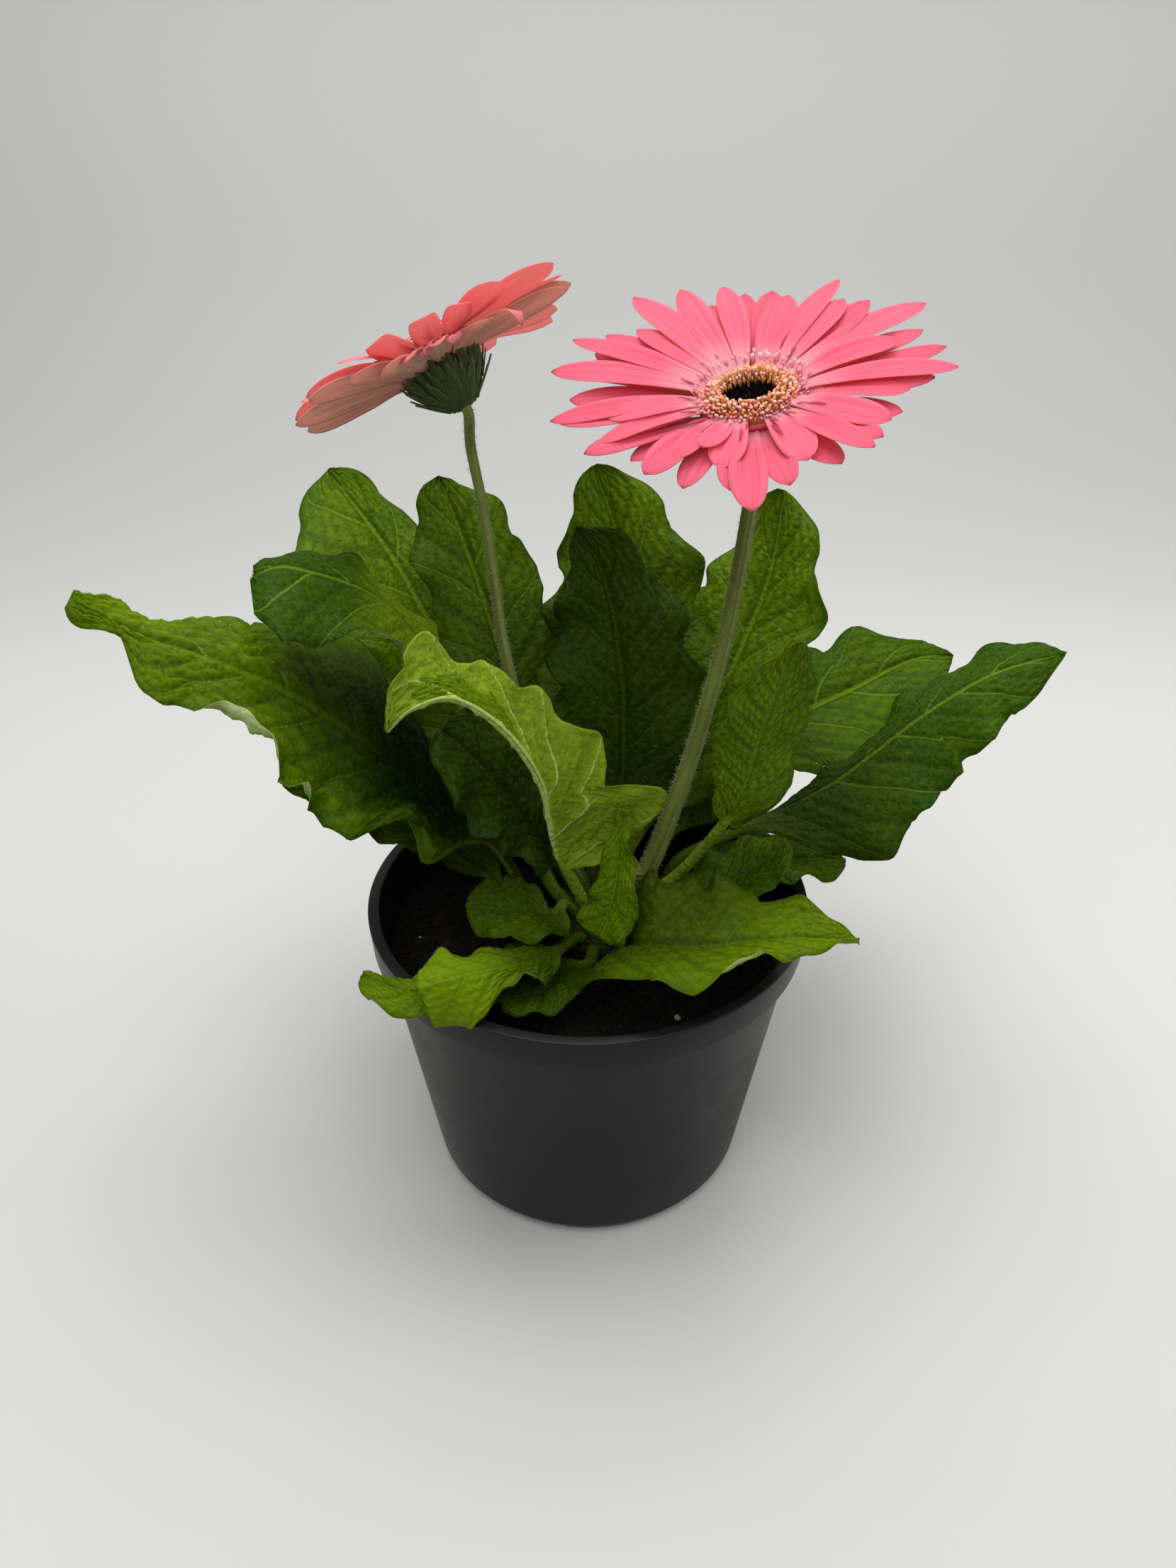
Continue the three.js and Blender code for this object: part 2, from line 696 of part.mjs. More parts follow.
// The dark middle of unopened florets: a low dome with a knobbly top.
function eyeGeometry() {
  const around = 14;
  const rows = [1, 0.75, 0.35];
  const ring = (share, z) =>
    Array.from({ length: around }, (_, j) => {
      const a = (j / around) * 2 * Math.PI;
      return new THREE.Vector3(share * EYE_RADIUS * Math.cos(a), share * EYE_RADIUS * Math.sin(a), z(j));
    });
  const dome = (share) => EYE_FOOT + EYE_HEIGHT - 1.5 * share * share;
  const rings = [
    ring(1, () => EYE_FOOT),
    ...rows.map((share, i) => ring(share, (j) => dome(share) + 0.3 * scatter(j, i))),
  ];
  return ringGeometry(rings, new THREE.Vector3(0, 0, EYE_FOOT), new THREE.Vector3(0, 0, dome(0)));
}

function stemGeometry(bloom, neck, facing) {
  const rootDirection = heading(...bloom.root);
  const start = vec(CROWN_CENTRE).addScaledVector(rootDirection, CROWN_RADIUS + SEAT_GAP);
  const clear = start.clone().addScaledVector(rootDirection, ROOT_RUN);
  const end = neck.clone().addScaledVector(facing, -SEAT_GAP);
  const bend = end.clone().addScaledVector(facing, -4);
  const points = [start, clear, ...bloom.way.map(vec), bend, end];
  const shares = Array.from({ length: STEM_STEPS + 1 }, (_, i) => i / STEM_STEPS);
  const rings = samplesAlong(points, shares).map(({ at, along }, i) => {
    const side = new THREE.Vector3(0, 1, 0).addScaledVector(along, -along.y).normalize();
    const other = along.clone().cross(side);
    const radius = mix(...bloom.stem, smooth(1.3 * shares[i]));
    return Array.from({ length: STEM_SIDES }, (_, j) => {
      const a = (j / STEM_SIDES) * 2 * Math.PI;
      const out = side.clone().multiplyScalar(radius * Math.cos(a));
      return out.addScaledVector(other, radius * Math.sin(a)).add(at);
    });
  });
  return ringGeometry(rings, start, end);
}

for (const bloom of BLOOMS) {
  const facing = vec(bloom.facing).normalize();
  const place = (geometry) => {
    const turn = new THREE.Quaternion().setFromUnitVectors(new THREE.Vector3(0, 0, 1), facing);
    return geometry.applyQuaternion(turn).translate(...bloom.centre);
  };
  const neck = vec(bloom.centre).addScaledVector(facing, CUP_PROFILE[0][1]);
  addNode(`${bloom.name}_stem`, stemGeometry(bloom, neck, facing), MATERIALS.stem);
  addNode(`${bloom.name}_bracts`, place(involucreGeometry()), MATERIALS.bracts);
  addNode(`${bloom.name}_rays`, place(raysGeometry(bloom)), MATERIALS.rays);
  addNode(`${bloom.name}_disc`, place(discGeometry()), MATERIALS.florets);
  addNode(`${bloom.name}_eye`, place(eyeGeometry()), MATERIALS.eye);
}

export default group;
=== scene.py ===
# %% [markdown]
# # A potted gerbera
#
# A gerbera is a rosette. All its leaves and its bare flower stems grow from one short crown in the soil.
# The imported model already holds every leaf, bloom and stem as a plain solid of the right size and place.
# This file dresses them: quilted leaves with veins, fine rays, florets, peat and moulded plastic.
#
# All sizes here are in millimetres, as on a grower's ruler, and `MM` turns them into Blender's metres.

# %% Load the frame that everything is built around
import math

import bmesh
import bpy
import numpy as np
from mathutils import Matrix, Vector, noise


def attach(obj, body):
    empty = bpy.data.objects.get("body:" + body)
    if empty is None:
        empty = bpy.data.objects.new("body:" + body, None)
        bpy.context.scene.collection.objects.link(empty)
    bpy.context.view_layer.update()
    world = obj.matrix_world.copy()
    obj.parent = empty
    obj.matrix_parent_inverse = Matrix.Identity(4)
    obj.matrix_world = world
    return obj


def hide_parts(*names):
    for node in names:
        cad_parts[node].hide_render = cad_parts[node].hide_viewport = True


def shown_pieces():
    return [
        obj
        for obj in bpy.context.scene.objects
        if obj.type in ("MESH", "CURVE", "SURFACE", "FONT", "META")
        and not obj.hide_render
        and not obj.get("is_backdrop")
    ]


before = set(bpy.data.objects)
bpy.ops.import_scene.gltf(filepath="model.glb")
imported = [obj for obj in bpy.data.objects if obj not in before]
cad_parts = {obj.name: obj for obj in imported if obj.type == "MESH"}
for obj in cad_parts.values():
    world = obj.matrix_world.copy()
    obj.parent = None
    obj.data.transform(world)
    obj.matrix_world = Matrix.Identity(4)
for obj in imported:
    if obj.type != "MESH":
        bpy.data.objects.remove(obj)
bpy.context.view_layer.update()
MM = 0.001
scene = bpy.context.scene


def added(name, data):
    """A new object with this data, linked to the scene."""
    thing = bpy.data.objects.new(name, data)
    scene.collection.objects.link(thing)
    return thing


# %% [markdown]
# ## Camera, floor and light
#
# The plant is seen from a little above its blooms, in front of a pale paper sweep: a floor that bends up
# into a wall, so that no hard corner shows behind the plant. Its bend and wall are painted darker than the
# front of its floor, as painted shade.
# Three large soft lamps and a pale sky give the even light of a bright room. The strongest one is high and
# behind, so that leaves and rays glow through.

# %% Camera
CAMERA_PLACE = (0, -350, 371)
CAMERA_PITCH = 32.1  # degrees below level
LENS = 29.13
SENSOR_HEIGHT = 36

camera_data = bpy.data.cameras.new("camera")
camera_data.sensor_fit = "VERTICAL"
camera_data.sensor_height = SENSOR_HEIGHT
camera_data.lens = LENS
camera = added("camera", camera_data)
camera.location = Vector(CAMERA_PLACE) * MM
camera.rotation_euler = (math.radians(90 - CAMERA_PITCH), 0, 0)
scene.camera = camera
scene.view_settings.view_transform = "Standard"


# %% A node tree with a short method for each step
class Tree:
    """A node tree. Each method adds a node, whose inputs are plain values or other nodes' outputs."""

    def __init__(self, data):
        self.data = data

    def feed(self, socket, value):
        if isinstance(value, bpy.types.NodeSocket):
            self.data.links.new(value, socket)
        else:
            socket.default_value = (*value, 1) if socket.type == "RGBA" else value

    def node(self, kind, inputs=None, **settings):
        made = self.data.nodes.new(kind)
        for name, value in settings.items():
            setattr(made, name, value)
        for key, value in (inputs or {}).items():
            self.feed(made.inputs[key], value)
        return made

    def calc(self, operation, *terms):
        return self.node("ShaderNodeMath", dict(enumerate(terms)), operation=operation).outputs[0]

    def times(self, first, second):
        return self.calc("MULTIPLY", first, second)

    def times_plus(self, first, second, more):
        return self.calc("MULTIPLY_ADD", first, second, more)

    def rest(self, share):
        """What a share leaves of 1."""
        return self.calc("SUBTRACT", 1.0, share)

    def band(self, value, low, high):
        """0 below low, 1 above high and a soft step between them."""
        limits = {"Value": value, "From Min": low, "From Max": high}
        return self.node("ShaderNodeMapRange", limits, interpolation_type="SMOOTHSTEP").outputs[0]

    def mix(self, share, first, second):
        """The colour first where share is 0 and second where it is 1."""
        return self.node("ShaderNodeMix", {0: share, 6: first, 7: second}, data_type="RGBA").outputs[2]

    def fade(self, value, low, high, first, second):
        """The colour first where the value is below low, second where it is above high."""
        return self.mix(self.band(value, low, high), first, second)

    def spot(self):
        """Where a point is, in the piece's own coordinates."""
        return self.node("ShaderNodeTexCoord").outputs["Object"]

    def part(self, vector, axis):
        return self.node("ShaderNodeSeparateXYZ", {0: vector}).outputs[axis]

    def read(self, name):
        """The number that the mesh stores under this name for each point."""
        return self.node("ShaderNodeAttribute", attribute_name=name).outputs["Fac"]

    def speckle(self, vector, scale, detail, roughness=0.5):
        """A noise of this scale, from 0 to 1."""
        inputs = {"Vector": vector, "Scale": scale, "Detail": detail, "Roughness": roughness}
        return self.node("ShaderNodeTexNoise", inputs).outputs[0]

    def use(self, group, **values):
        """Places a shared group with its own values, spelt with _ for each space."""
        inputs = {key.replace("_", " "): value for key, value in values.items()}
        return self.node("ShaderNodeGroup", inputs, node_tree=group.data).outputs[0]


# %% Material helper
class Finish(Tree):
    """A new material. With glow, its shader is mixed with a Translucent one that lets light through."""

    def __init__(self, name, roughness=0.5, specular=0.5, sheen=0.0, sheen_tint=(1, 1, 1), glow=0.0):
        self.material = bpy.data.materials.new(name)
        self.material.use_nodes = True
        super().__init__(self.material.node_tree)
        self.shader = self.data.nodes["Principled BSDF"]
        constants = {"Roughness": roughness, "Specular IOR Level": specular, "Sheen Weight": sheen}
        constants |= {"Sheen Roughness": 0.4, "Sheen Tint": sheen_tint}
        for label, value in constants.items():
            self.feed(self.shader.inputs[label], value)
        if glow:
            self.lit = self.data.nodes.new("ShaderNodeBsdfTranslucent")
            both = {0: glow, 1: self.shader.outputs[0], 2: self.lit.outputs[0]}
            mixed = self.node("ShaderNodeMixShader", both).outputs[0]
            self.feed(self.data.nodes["Material Output"].inputs["Surface"], mixed)

    def dress(self, colour, relief=None, depth=0.0, through=None):
        """The material, given its colour, its relief of this depth in mm, and the colour of light let by."""
        self.feed(self.shader.inputs["Base Color"], colour)
        if relief:
            raised = self.node("ShaderNodeBump", {"Height": relief, "Distance": depth * MM, "Strength": 1.0})
            self.feed(self.shader.inputs["Normal"], raised.outputs["Normal"])
        if through:
            self.feed(self.lit.inputs["Color"], through)
        return self.material


# %% The paper sweep
SWEEP_HALF_WIDTH = 2400
SWEEP_FRONT = -1500
SWEEP_BACK = 480  # where the floor starts to bend up
SWEEP_BEND = 420
SWEEP_TOP = 2300

sweep_line = [(SWEEP_FRONT, 0), (SWEEP_BACK, 0)]
for degree in range(5, 91, 5):
    turn = math.radians(degree)
    sweep_line.append((SWEEP_BACK + SWEEP_BEND * math.sin(turn), SWEEP_BEND * (1 - math.cos(turn))))
sweep_line.append((SWEEP_BACK + SWEEP_BEND, SWEEP_TOP))
sweep_sides = (-SWEEP_HALF_WIDTH, SWEEP_HALF_WIDTH)
sweep_points = [(x * MM, y * MM, z * MM) for y, z in sweep_line for x in sweep_sides]
sweep_faces = [(2 * i, 2 * i + 1, 2 * i + 3, 2 * i + 2) for i in range(len(sweep_line) - 1)]
sweep_mesh = bpy.data.meshes.new("sweep")
sweep_mesh.from_pydata(sweep_points, [], sweep_faces)
sweep_mesh.shade_smooth()
sweep = added("sweep", sweep_mesh)

paper = Finish("paper", 0.75)
depth = paper.part(paper.spot(), "Y")
height = paper.part(paper.spot(), "Z")
# The paper is painted darker from the front of the floor towards the bend, and a little lighter up the wall:
# painted shade.
floor_colour = paper.fade(depth, 0.30, 0.74, (0.478, 0.478, 0.464), (0.366, 0.366, 0.36))
sheet_colour = paper.fade(height, 0.15, 0.38, floor_colour, (0.43, 0.43, 0.422))
sweep_mesh.materials.append(paper.dress(sheet_colour))
sweep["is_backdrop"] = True


# %% Lamps and sky
def lamp(name, spot, aim, size, watts, tint=(1, 1, 1)):
    data = bpy.data.lights.new(name, "AREA")
    data.shape = "SQUARE"
    data.size = size * MM
    data.energy = watts
    data.color = tint
    body = added(name, data)
    body.location = Vector(spot) * MM
    body.rotation_euler = (Vector(aim) - Vector(spot)).to_track_quat("-Z", "Y").to_euler()


lamp("lamp_over", (-60, 300, 1250), (0, 0, 150), 1000, 16, (1, 0.995, 0.98))
lamp("lamp_front", (-150, -850, 1450), (0, 0, 200), 1200, 14.5)
lamp("lamp_right", (1000, 100, 700), (0, 0, 120), 700, 4.1)

sky = bpy.data.worlds.new("room")
sky.use_nodes = True
sky.node_tree.nodes["Background"].inputs["Color"].default_value = (0.97, 0.98, 1, 1)
sky.node_tree.nodes["Background"].inputs["Strength"].default_value = 0.34
scene.world = sky
print("camera, sweep, 3 lamps")

# %% [markdown]
# ## Shader groups that several finishes share
#
# Nothing on a plant has one flat colour. Three effects come back in almost every material here: a soft
# mottle, the fine streaks that run along rays, stems and bracts, and the short down that plants carry.
# Each is built once as a node group with named inputs, and each material then gives it its own values.


# %% Group helper
class Group(Tree):
    """A node group. told holds the sockets that bring its inputs, and given those that take its outputs."""

    def __init__(self, name, kind, inputs, outputs):
        super().__init__(bpy.data.node_groups.new(name, f"{kind}NodeTree"))
        for way, sockets in (("INPUT", inputs), ("OUTPUT", outputs)):
            for label, value_kind in sockets.items():
                self.data.interface.new_socket(name=label, in_out=way, socket_type=f"NodeSocket{value_kind}")
        self.told = self.node("NodeGroupInput").outputs
        self.given = self.node("NodeGroupOutput").inputs


# %% Mottle: soft patches of two sizes
FINE_MOTTLE = 9  # how many fine specks lie across one soft patch

mottle = Group("mottle", "Shader", {"Scale": "Float", "Detail share": "Float"}, {"Value": "Float"})
scale = mottle.told["Scale"]
patches = mottle.speckle(mottle.spot(), scale, 3.0)
specks = mottle.speckle(mottle.spot(), mottle.times(scale, FINE_MOTTLE), 2.0)
lifted = mottle.calc("SUBTRACT", specks, 0.5)
detailed = mottle.times_plus(lifted, mottle.told["Detail share"], patches)
mottle.feed(mottle.given["Value"], mottle.band(detailed, 0.3, 0.7))

# %% Streaks: fine lines along a piece, from its own across and along attributes
values = {"Lines": "Float", "Wander": "Float", "Seed": "Float"}
streaks = Group("streaks", "Shader", values, {"Value": "Float"})
grain_place = streaks.node("ShaderNodeCombineXYZ", {
    "X": streaks.times(streaks.read("across"), streaks.told["Lines"]),
    "Y": streaks.times(streaks.read("along"), streaks.told["Wander"]),
    "Z": streaks.told["Seed"],
})
lines = streaks.speckle(grain_place.outputs[0], 1.0, 3.0, 0.6)
streaks.feed(streaks.given["Value"], streaks.band(lines, 0.3, 0.7))

# %% Down: the height of short hairs lying on a surface
down = Group("down", "Shader", {"Hairs per metre": "Float"}, {"Height": "Float"})
stretched = down.node("ShaderNodeMapping", {"Vector": down.spot(), "Scale": (1, 1, 0.35)}).outputs[0]
down.feed(down.given["Height"], down.speckle(stretched, down.told["Hairs per metre"], 2.0))
print("groups:", [g.name for g in bpy.data.node_groups])


# %% [markdown]
# ## Finishes
#
# Every material keeps its Principled shader to itself, with the constant values set on its sockets. Leaves
# and rays are thin enough to let light through, so their colour also feeds a Translucent shader.

# %% [markdown]
# ### The leaf
#
# A gerbera leaf is dark and a little glossy above, with paler veins sunk between its pads, and pale and
# downy below. A picture could show that, but it would blur close by. So the colour is worked out at each
# point from numbers that the blade's mesh stores, and the finest net of veins is a Voronoi pattern of the
# shader's own.

# %% Leaf: where a point is on the blade
# The blade's attributes say where a point is: rank counts the side veins along the blade, across runs from
# -1 at the left margin to 1 at the right one, under is 1 on the underside, blade is 0 on the petiole, and
# tone gives some leaves a fresher green and paints light and shade on parts of others. The painted shade
# value is above 0 on blades inside the rosette, which it paints a darker green, as painted shade. pad is
# how far the blade is quilted up, and rolled is 1 where a margin rolls up and shows its downy underside,
# which is painted paler there: partly the pale down, partly a painted highlight.
leaf = Finish("leaf", 0.42, 0.05, glow=0.22)
across = leaf.read("across")
under = leaf.read("under")
blade = leaf.read("blade")
tone = leaf.read("tone")
pad = leaf.read("pad")
# How much painted shade darkens this point, on blades inside the rosette.
painted_shade = leaf.read("painted_shade")
own_rank = leaf.times_plus(leaf.calc("LESS_THAN", across, 0.0), 0.5, leaf.read("rank"))
from_middle = leaf.calc("ABSOLUTE", across)
to_vein = leaf.calc("ABSOLUTE", leaf.calc("SUBTRACT", leaf.calc("FRACT", own_rank), 0.5))
thinning = leaf.times_plus(from_middle, -0.032, 0.045)
side_vein = leaf.band(leaf.rest(leaf.calc("DIVIDE", to_vein, thinning)), 0.0, 1.0)
midrib = leaf.band(leaf.rest(leaf.calc("DIVIDE", from_middle, 0.055)), 0.0, 0.7)
vein = leaf.times(leaf.calc("MAXIMUM", side_vein, midrib), blade)
net = leaf.node("ShaderNodeTexVoronoi", {"Vector": leaf.spot(), "Scale": 330.0}, feature="DISTANCE_TO_EDGE")
from_net = net.outputs["Distance"]
net_line = leaf.rest(leaf.band(from_net, 0.0, 0.12))
patches = leaf.use(mottle, Scale=42.0, Detail_share=0.5)

# %% Leaf: its colours and its relief
# A high tone lightens the green and a low one darkens it: partly a fresher green on some leaves, partly
# painted light and painted shade on parts of others.
shade = leaf.times_plus(patches, 0.45, tone)
green = leaf.mix(shade, (0.036, 0.088, 0.0006), (0.145, 0.240, 0.0016))
# The hollows between the pads are painted darker: painted shade.
pad_shade = leaf.calc("ADD", pad, leaf.times_plus(tone, 0.3, 0.12))
hollows_shaded = leaf.mix(pad_shade, (0.016, 0.046, 0.0008), green)
top_veined = leaf.mix(leaf.times(vein, 0.5), hollows_shaded, (0.19, 0.31, 0.010))
top_colour = leaf.mix(leaf.times(net_line, 0.12), top_veined, (0.12, 0.21, 0.006))
pale = leaf.mix(patches, (0.175, 0.275, 0.010), (0.245, 0.360, 0.018))
# On the underside the pads are hollow, and they are painted darker: painted shade.
sunk = leaf.mix(leaf.times(pad, 0.65), pale, (0.090, 0.155, 0.004))
pale_net = leaf.mix(leaf.times(net_line, 0.25), sunk, (0.24, 0.34, 0.04))
pale_veined = leaf.mix(vein, pale_net, (0.44, 0.55, 0.15))
# Where a margin rolls up, its underside is painted paler: partly the pale down, partly a painted highlight.
under_colour = leaf.mix(leaf.times(leaf.read("rolled"), 0.85), pale_veined, (0.48, 0.56, 0.28))
open_colour = leaf.mix(under, top_colour, under_colour)
# Blades inside the rosette are painted darker here, as painted shade. Their petioles and the light that they
# let through are darkened the same way below.
blade_colour = leaf.mix(painted_shade, open_colour, (0.004, 0.014, 0.0004))
open_petiole = leaf.mix(patches, (0.080, 0.135, 0.006), (0.150, 0.220, 0.015))
petiole = leaf.mix(leaf.times(painted_shade, 0.8), open_petiole, (0.012, 0.022, 0.002))
gloss = leaf.times_plus(under, 0.33, leaf.times_plus(patches, 0.12, 0.36))
leaf.feed(leaf.shader.inputs["Roughness"], gloss)
hair_height = leaf.use(down, Hairs_per_metre=2200.0)
leaf_finish = leaf.dress(
    leaf.mix(blade, petiole, blade_colour),
    leaf.times_plus(hair_height, 0.12, leaf.band(from_net, 0.0, 0.4)), 0.28,
    leaf.mix(painted_shade, (0.20, 0.35, 0.004), (0.02, 0.05, 0.001)),
)

# %% [markdown]
# ### The rays
#
# A ray is deep pink with fine lines along it, a pale foot and a paler rim. Its back is salmon, and on the
# upper rays coral, partly painted light that shines through them. Light from behind also makes it glow.
# The lower rays are painted darker, as painted shade, and the left bloom's rays lighter, as painted light.
# One material does for both faces of both blooms, because the mesh says which is which.

# %% Rays
# inner is 1 on the upper rays, outer is 1 on the narrow ones at the disc, and a third value paints all
# the rays of a bloom lighter, as painted light.
ray = Finish("ray", 0.5, 0.22, 0.08, (1, 0.75, 0.8), 0.48)
under = ray.read("under")
tint = ray.read("tint")
inner = ray.read("inner")
painted_light = ray.read("painted_light")
fine = ray.use(streaks, Lines=9.0, Wander=0.9, Seed=ray.times(tint, 40.0))
foot = ray.rest(ray.band(ray.read("along"), 0.02, 0.42))
pink = ray.mix(tint, (0.89, 0.105, 0.200), (0.92, 0.155, 0.265))
streaked = ray.mix(ray.times(fine, 0.42), pink, (0.97, 0.30, 0.40))
paling = ray.mix(ray.times(foot, 0.75), streaked, (0.97, 0.58, 0.65))
rim = ray.band(ray.calc("ABSOLUTE", ray.read("across")), 0.8, 1.0)
rimmed = ray.mix(ray.times(rim, 0.4), paling, (0.98, 0.46, 0.52))
# The lower rays are painted darker than the upper ones: painted shade from the rays above them.
lower_rays_shaded = ray.mix(ray.times_plus(inner, -0.35, 0.35), rimmed, (0.72, 0.085, 0.170))
# The rays of a bloom are painted lighter by its own share: painted light, on the left bloom only.
painted_lighter = ray.mix(painted_light, lower_rays_shaded, (0.96, 0.36, 0.36))
face = ray.mix(ray.read("outer"), painted_lighter, (0.82, 0.09, 0.20))
salmon = ray.mix(fine, (0.63, 0.48, 0.34), (0.76, 0.60, 0.46))
# The backs of the upper rays are coral: partly their own colour, partly painted light shining through them.
coral = ray.mix(fine, (0.90, 0.38, 0.34), (0.95, 0.52, 0.48))
back = ray.mix(ray.times(foot, 0.5), ray.mix(inner, salmon, coral), (0.70, 0.50, 0.36))
glow_back = ray.mix(inner, (0.75, 0.45, 0.36), (0.98, 0.42, 0.40))
# The light let through the faces is painted lighter in the same way.
glow_face = ray.mix(painted_light, (0.95, 0.23, 0.30), (0.97, 0.42, 0.40))
glow = ray.mix(under, glow_face, glow_back)
let_by = ray.mix(foot, glow, (0.90, 0.5, 0.42))
ray_finish = ray.dress(ray.mix(under, face, back), fine, 0.12, let_by)

# %% [markdown]
# ### The disc
#
# The florets of the disc are too small to give each a finish of its own. Their meshes store how far up a
# point is, and each ring stores whether it is of gold buds, pale caps or pink tubes, so one material
# colours all. The closed florets of the eye are nearly black, and only a few show pale tips.

# %% Florets: the parts that stand in the disc, coloured from foot to tip
floret = Finish("floret", 0.5, 0.4, 0.2, (1, 0.9, 0.8), 0.12)
along = floret.read("along")
tint = floret.read("tint")
outer = floret.read("outer")
gold = floret.fade(tint, 0.55, 0.8, (0.74, 0.30, 0.03), (0.85, 0.50, 0.14))
gold_up = floret.fade(along, 0.2, 0.75, (0.55, 0.22, 0.10), gold)
pale_tip = floret.fade(tint, 0.3, 0.8, (0.80, 0.27, 0.25), (0.90, 0.53, 0.45))
cap_up = floret.fade(along, 0.35, 0.8, (0.66, 0.16, 0.15), pale_tip)
pink_tip = floret.fade(tint, 0.4, 0.9, (0.86, 0.24, 0.32), (0.93, 0.55, 0.52))
tube_up = floret.fade(along, 0.6, 0.95, (0.74, 0.10, 0.18), pink_tip)
colour = floret.fade(outer, 0.6, 0.8, floret.fade(outer, 0.2, 0.4, gold_up, cap_up), tube_up)
floret_finish = floret.dress(colour, floret.use(down, Hairs_per_metre=4000.0), 0.08, colour)

# %% Eye: the closed florets in the middle, a few of them with pale tips
eye = Finish("eye", 0.8, 0.05)
tint = eye.read("tint")
maroon = eye.mix(tint, (0.004, 0.0015, 0.002), (0.009, 0.002, 0.004))
few_tips = eye.times(eye.band(tint, 0.95, 0.98), eye.band(eye.read("along"), 0.7, 0.9))
colour = eye.mix(few_tips, maroon, (0.50, 0.28, 0.24))
eye_finish = eye.dress(colour, eye.use(down, Hairs_per_metre=4000.0), 0.1)

# %% [markdown]
# ### Green parts with down
#
# Bracts and stems are dark green, streaked along their length, and soft with down. The longest hairs are
# real small meshes further on. The shortest ones are only relief here, with a little sheen at the edges.

# %% Bracts
bract = Finish("bract", 0.75, 0.2, 0.15, (0.8, 0.9, 0.75))
fine = bract.use(streaks, Lines=5.0, Wander=1.2, Seed=3.0)
dark = bract.mix(fine, (0.020, 0.034, 0.007), (0.046, 0.066, 0.014))
edge = bract.band(bract.calc("ABSOLUTE", bract.read("across")), 0.55, 1.0)
edged = bract.mix(bract.times(edge, 0.35), dark, (0.08, 0.11, 0.03))
colour = bract.fade(bract.read("along"), 0.6, 1.0, edged, (0.09, 0.10, 0.035))
bract_finish = bract.dress(colour, bract.use(down, Hairs_per_metre=3000.0), 0.2)

# %% Stem
stem = Finish("stem", 0.55, 0.25, 0.12, (0.85, 0.9, 0.75))
fine = stem.use(streaks, Lines=7.0, Wander=3.0, Seed=9.0)
olive = stem.mix(fine, (0.085, 0.120, 0.014), (0.18, 0.23, 0.040))
patches = stem.use(mottle, Scale=25.0, Detail_share=0.6)
colour = stem.mix(stem.times(patches, 0.4), olive, (0.12, 0.10, 0.03))
stem_finish = stem.dress(colour, stem.use(down, Hairs_per_metre=2600.0), 0.25)

# %% Hair and crumbs, which differ from copy to copy
hair = Finish("hair", 0.6, 0.3, 0.3)
hair_finish = hair.dress(hair.mix(hair.read("tint"), (0.20, 0.23, 0.09), (0.42, 0.44, 0.24)))
crumb = Finish("crumb", 0.95, 0.15)
colour = crumb.mix(crumb.read("tint"), (0.003, 0.0024, 0.0018), (0.019, 0.013, 0.008))
crumb_finish = crumb.dress(colour, crumb.use(mottle, Scale=700.0, Detail_share=0.9), 0.4)


# %% [markdown]
# ### Crown, soil and pot
#
# Wool, peat and stone are all uneven in the same way: darker where they are lower. So one mottle gives both
# colour and relief. The pot is black moulded plastic, almost even, with a very fine grain from its mould.

# %% Crown, peat and pale grains: mottled, with the same mottle as relief
def mottled(name, roughness, specular, scale, share, dark, light, depth):
    made = Finish(name, roughness, specular)
    patches = made.use(mottle, Scale=scale, Detail_share=share)
    return made.dress(made.mix(patches, dark, light), patches, depth)


crown_finish = mottled("crown", 0.85, 0.12, 140.0, 0.8, (0.030, 0.025, 0.010), (0.060, 0.075, 0.016), 1.0)
peat_finish = mottled("peat", 0.95, 0.15, 170.0, 0.9, (0.003, 0.0024, 0.0018), (0.011, 0.008, 0.005), 1.5)
grain_finish = mottled("pale_grain", 0.9, 0.2, 600.0, 0.9, (0.38, 0.37, 0.33), (0.72, 0.71, 0.66), 0.5)

# %% Moulded pot plastic, matte, with a breath of dust low on the wall
plastic = Finish("pot_plastic", 0.5, 0.2)
patches = plastic.use(mottle, Scale=16.0, Detail_share=0.3)
low = plastic.rest(plastic.band(plastic.part(plastic.spot(), "Z"), 0.0, 0.035))
black = plastic.mix(patches, (0.0035, 0.0035, 0.004), (0.006, 0.006, 0.006))
dusty = plastic.mix(plastic.times(plastic.times(low, patches), 0.15), black, (0.055, 0.052, 0.047))
plastic.feed(plastic.shader.inputs["Roughness"], plastic.times_plus(patches, 0.12, 0.34))
pot_finish = plastic.dress(dusty, plastic.speckle(plastic.spot(), 1500.0, 2.0), 0.03)
print("materials:", [m.name for m in bpy.data.materials])

# %% [markdown]
# ## Paths and thin sheets
#
# A leaf, a ray and a bract are all the same kind of thing: a thin sheet with a top and an underside. So one
# helper closes such a sheet, with its faces outwards, and stores attributes that the materials read. A
# second helper walks along a smooth curve through the points that a leaf or stem passes.


# %% Walking along a curve
def smooth(t):
    c = np.clip(t, 0, 1)
    return c * c * (3 - 2 * c)


def scatter(i, k):
    """A number from -1 to 1 that looks random and is the same on every run."""
    x = math.sin(i * 127.1 + k * 311.7) * 43758.5453
    return 2 * (x - math.floor(x)) - 1


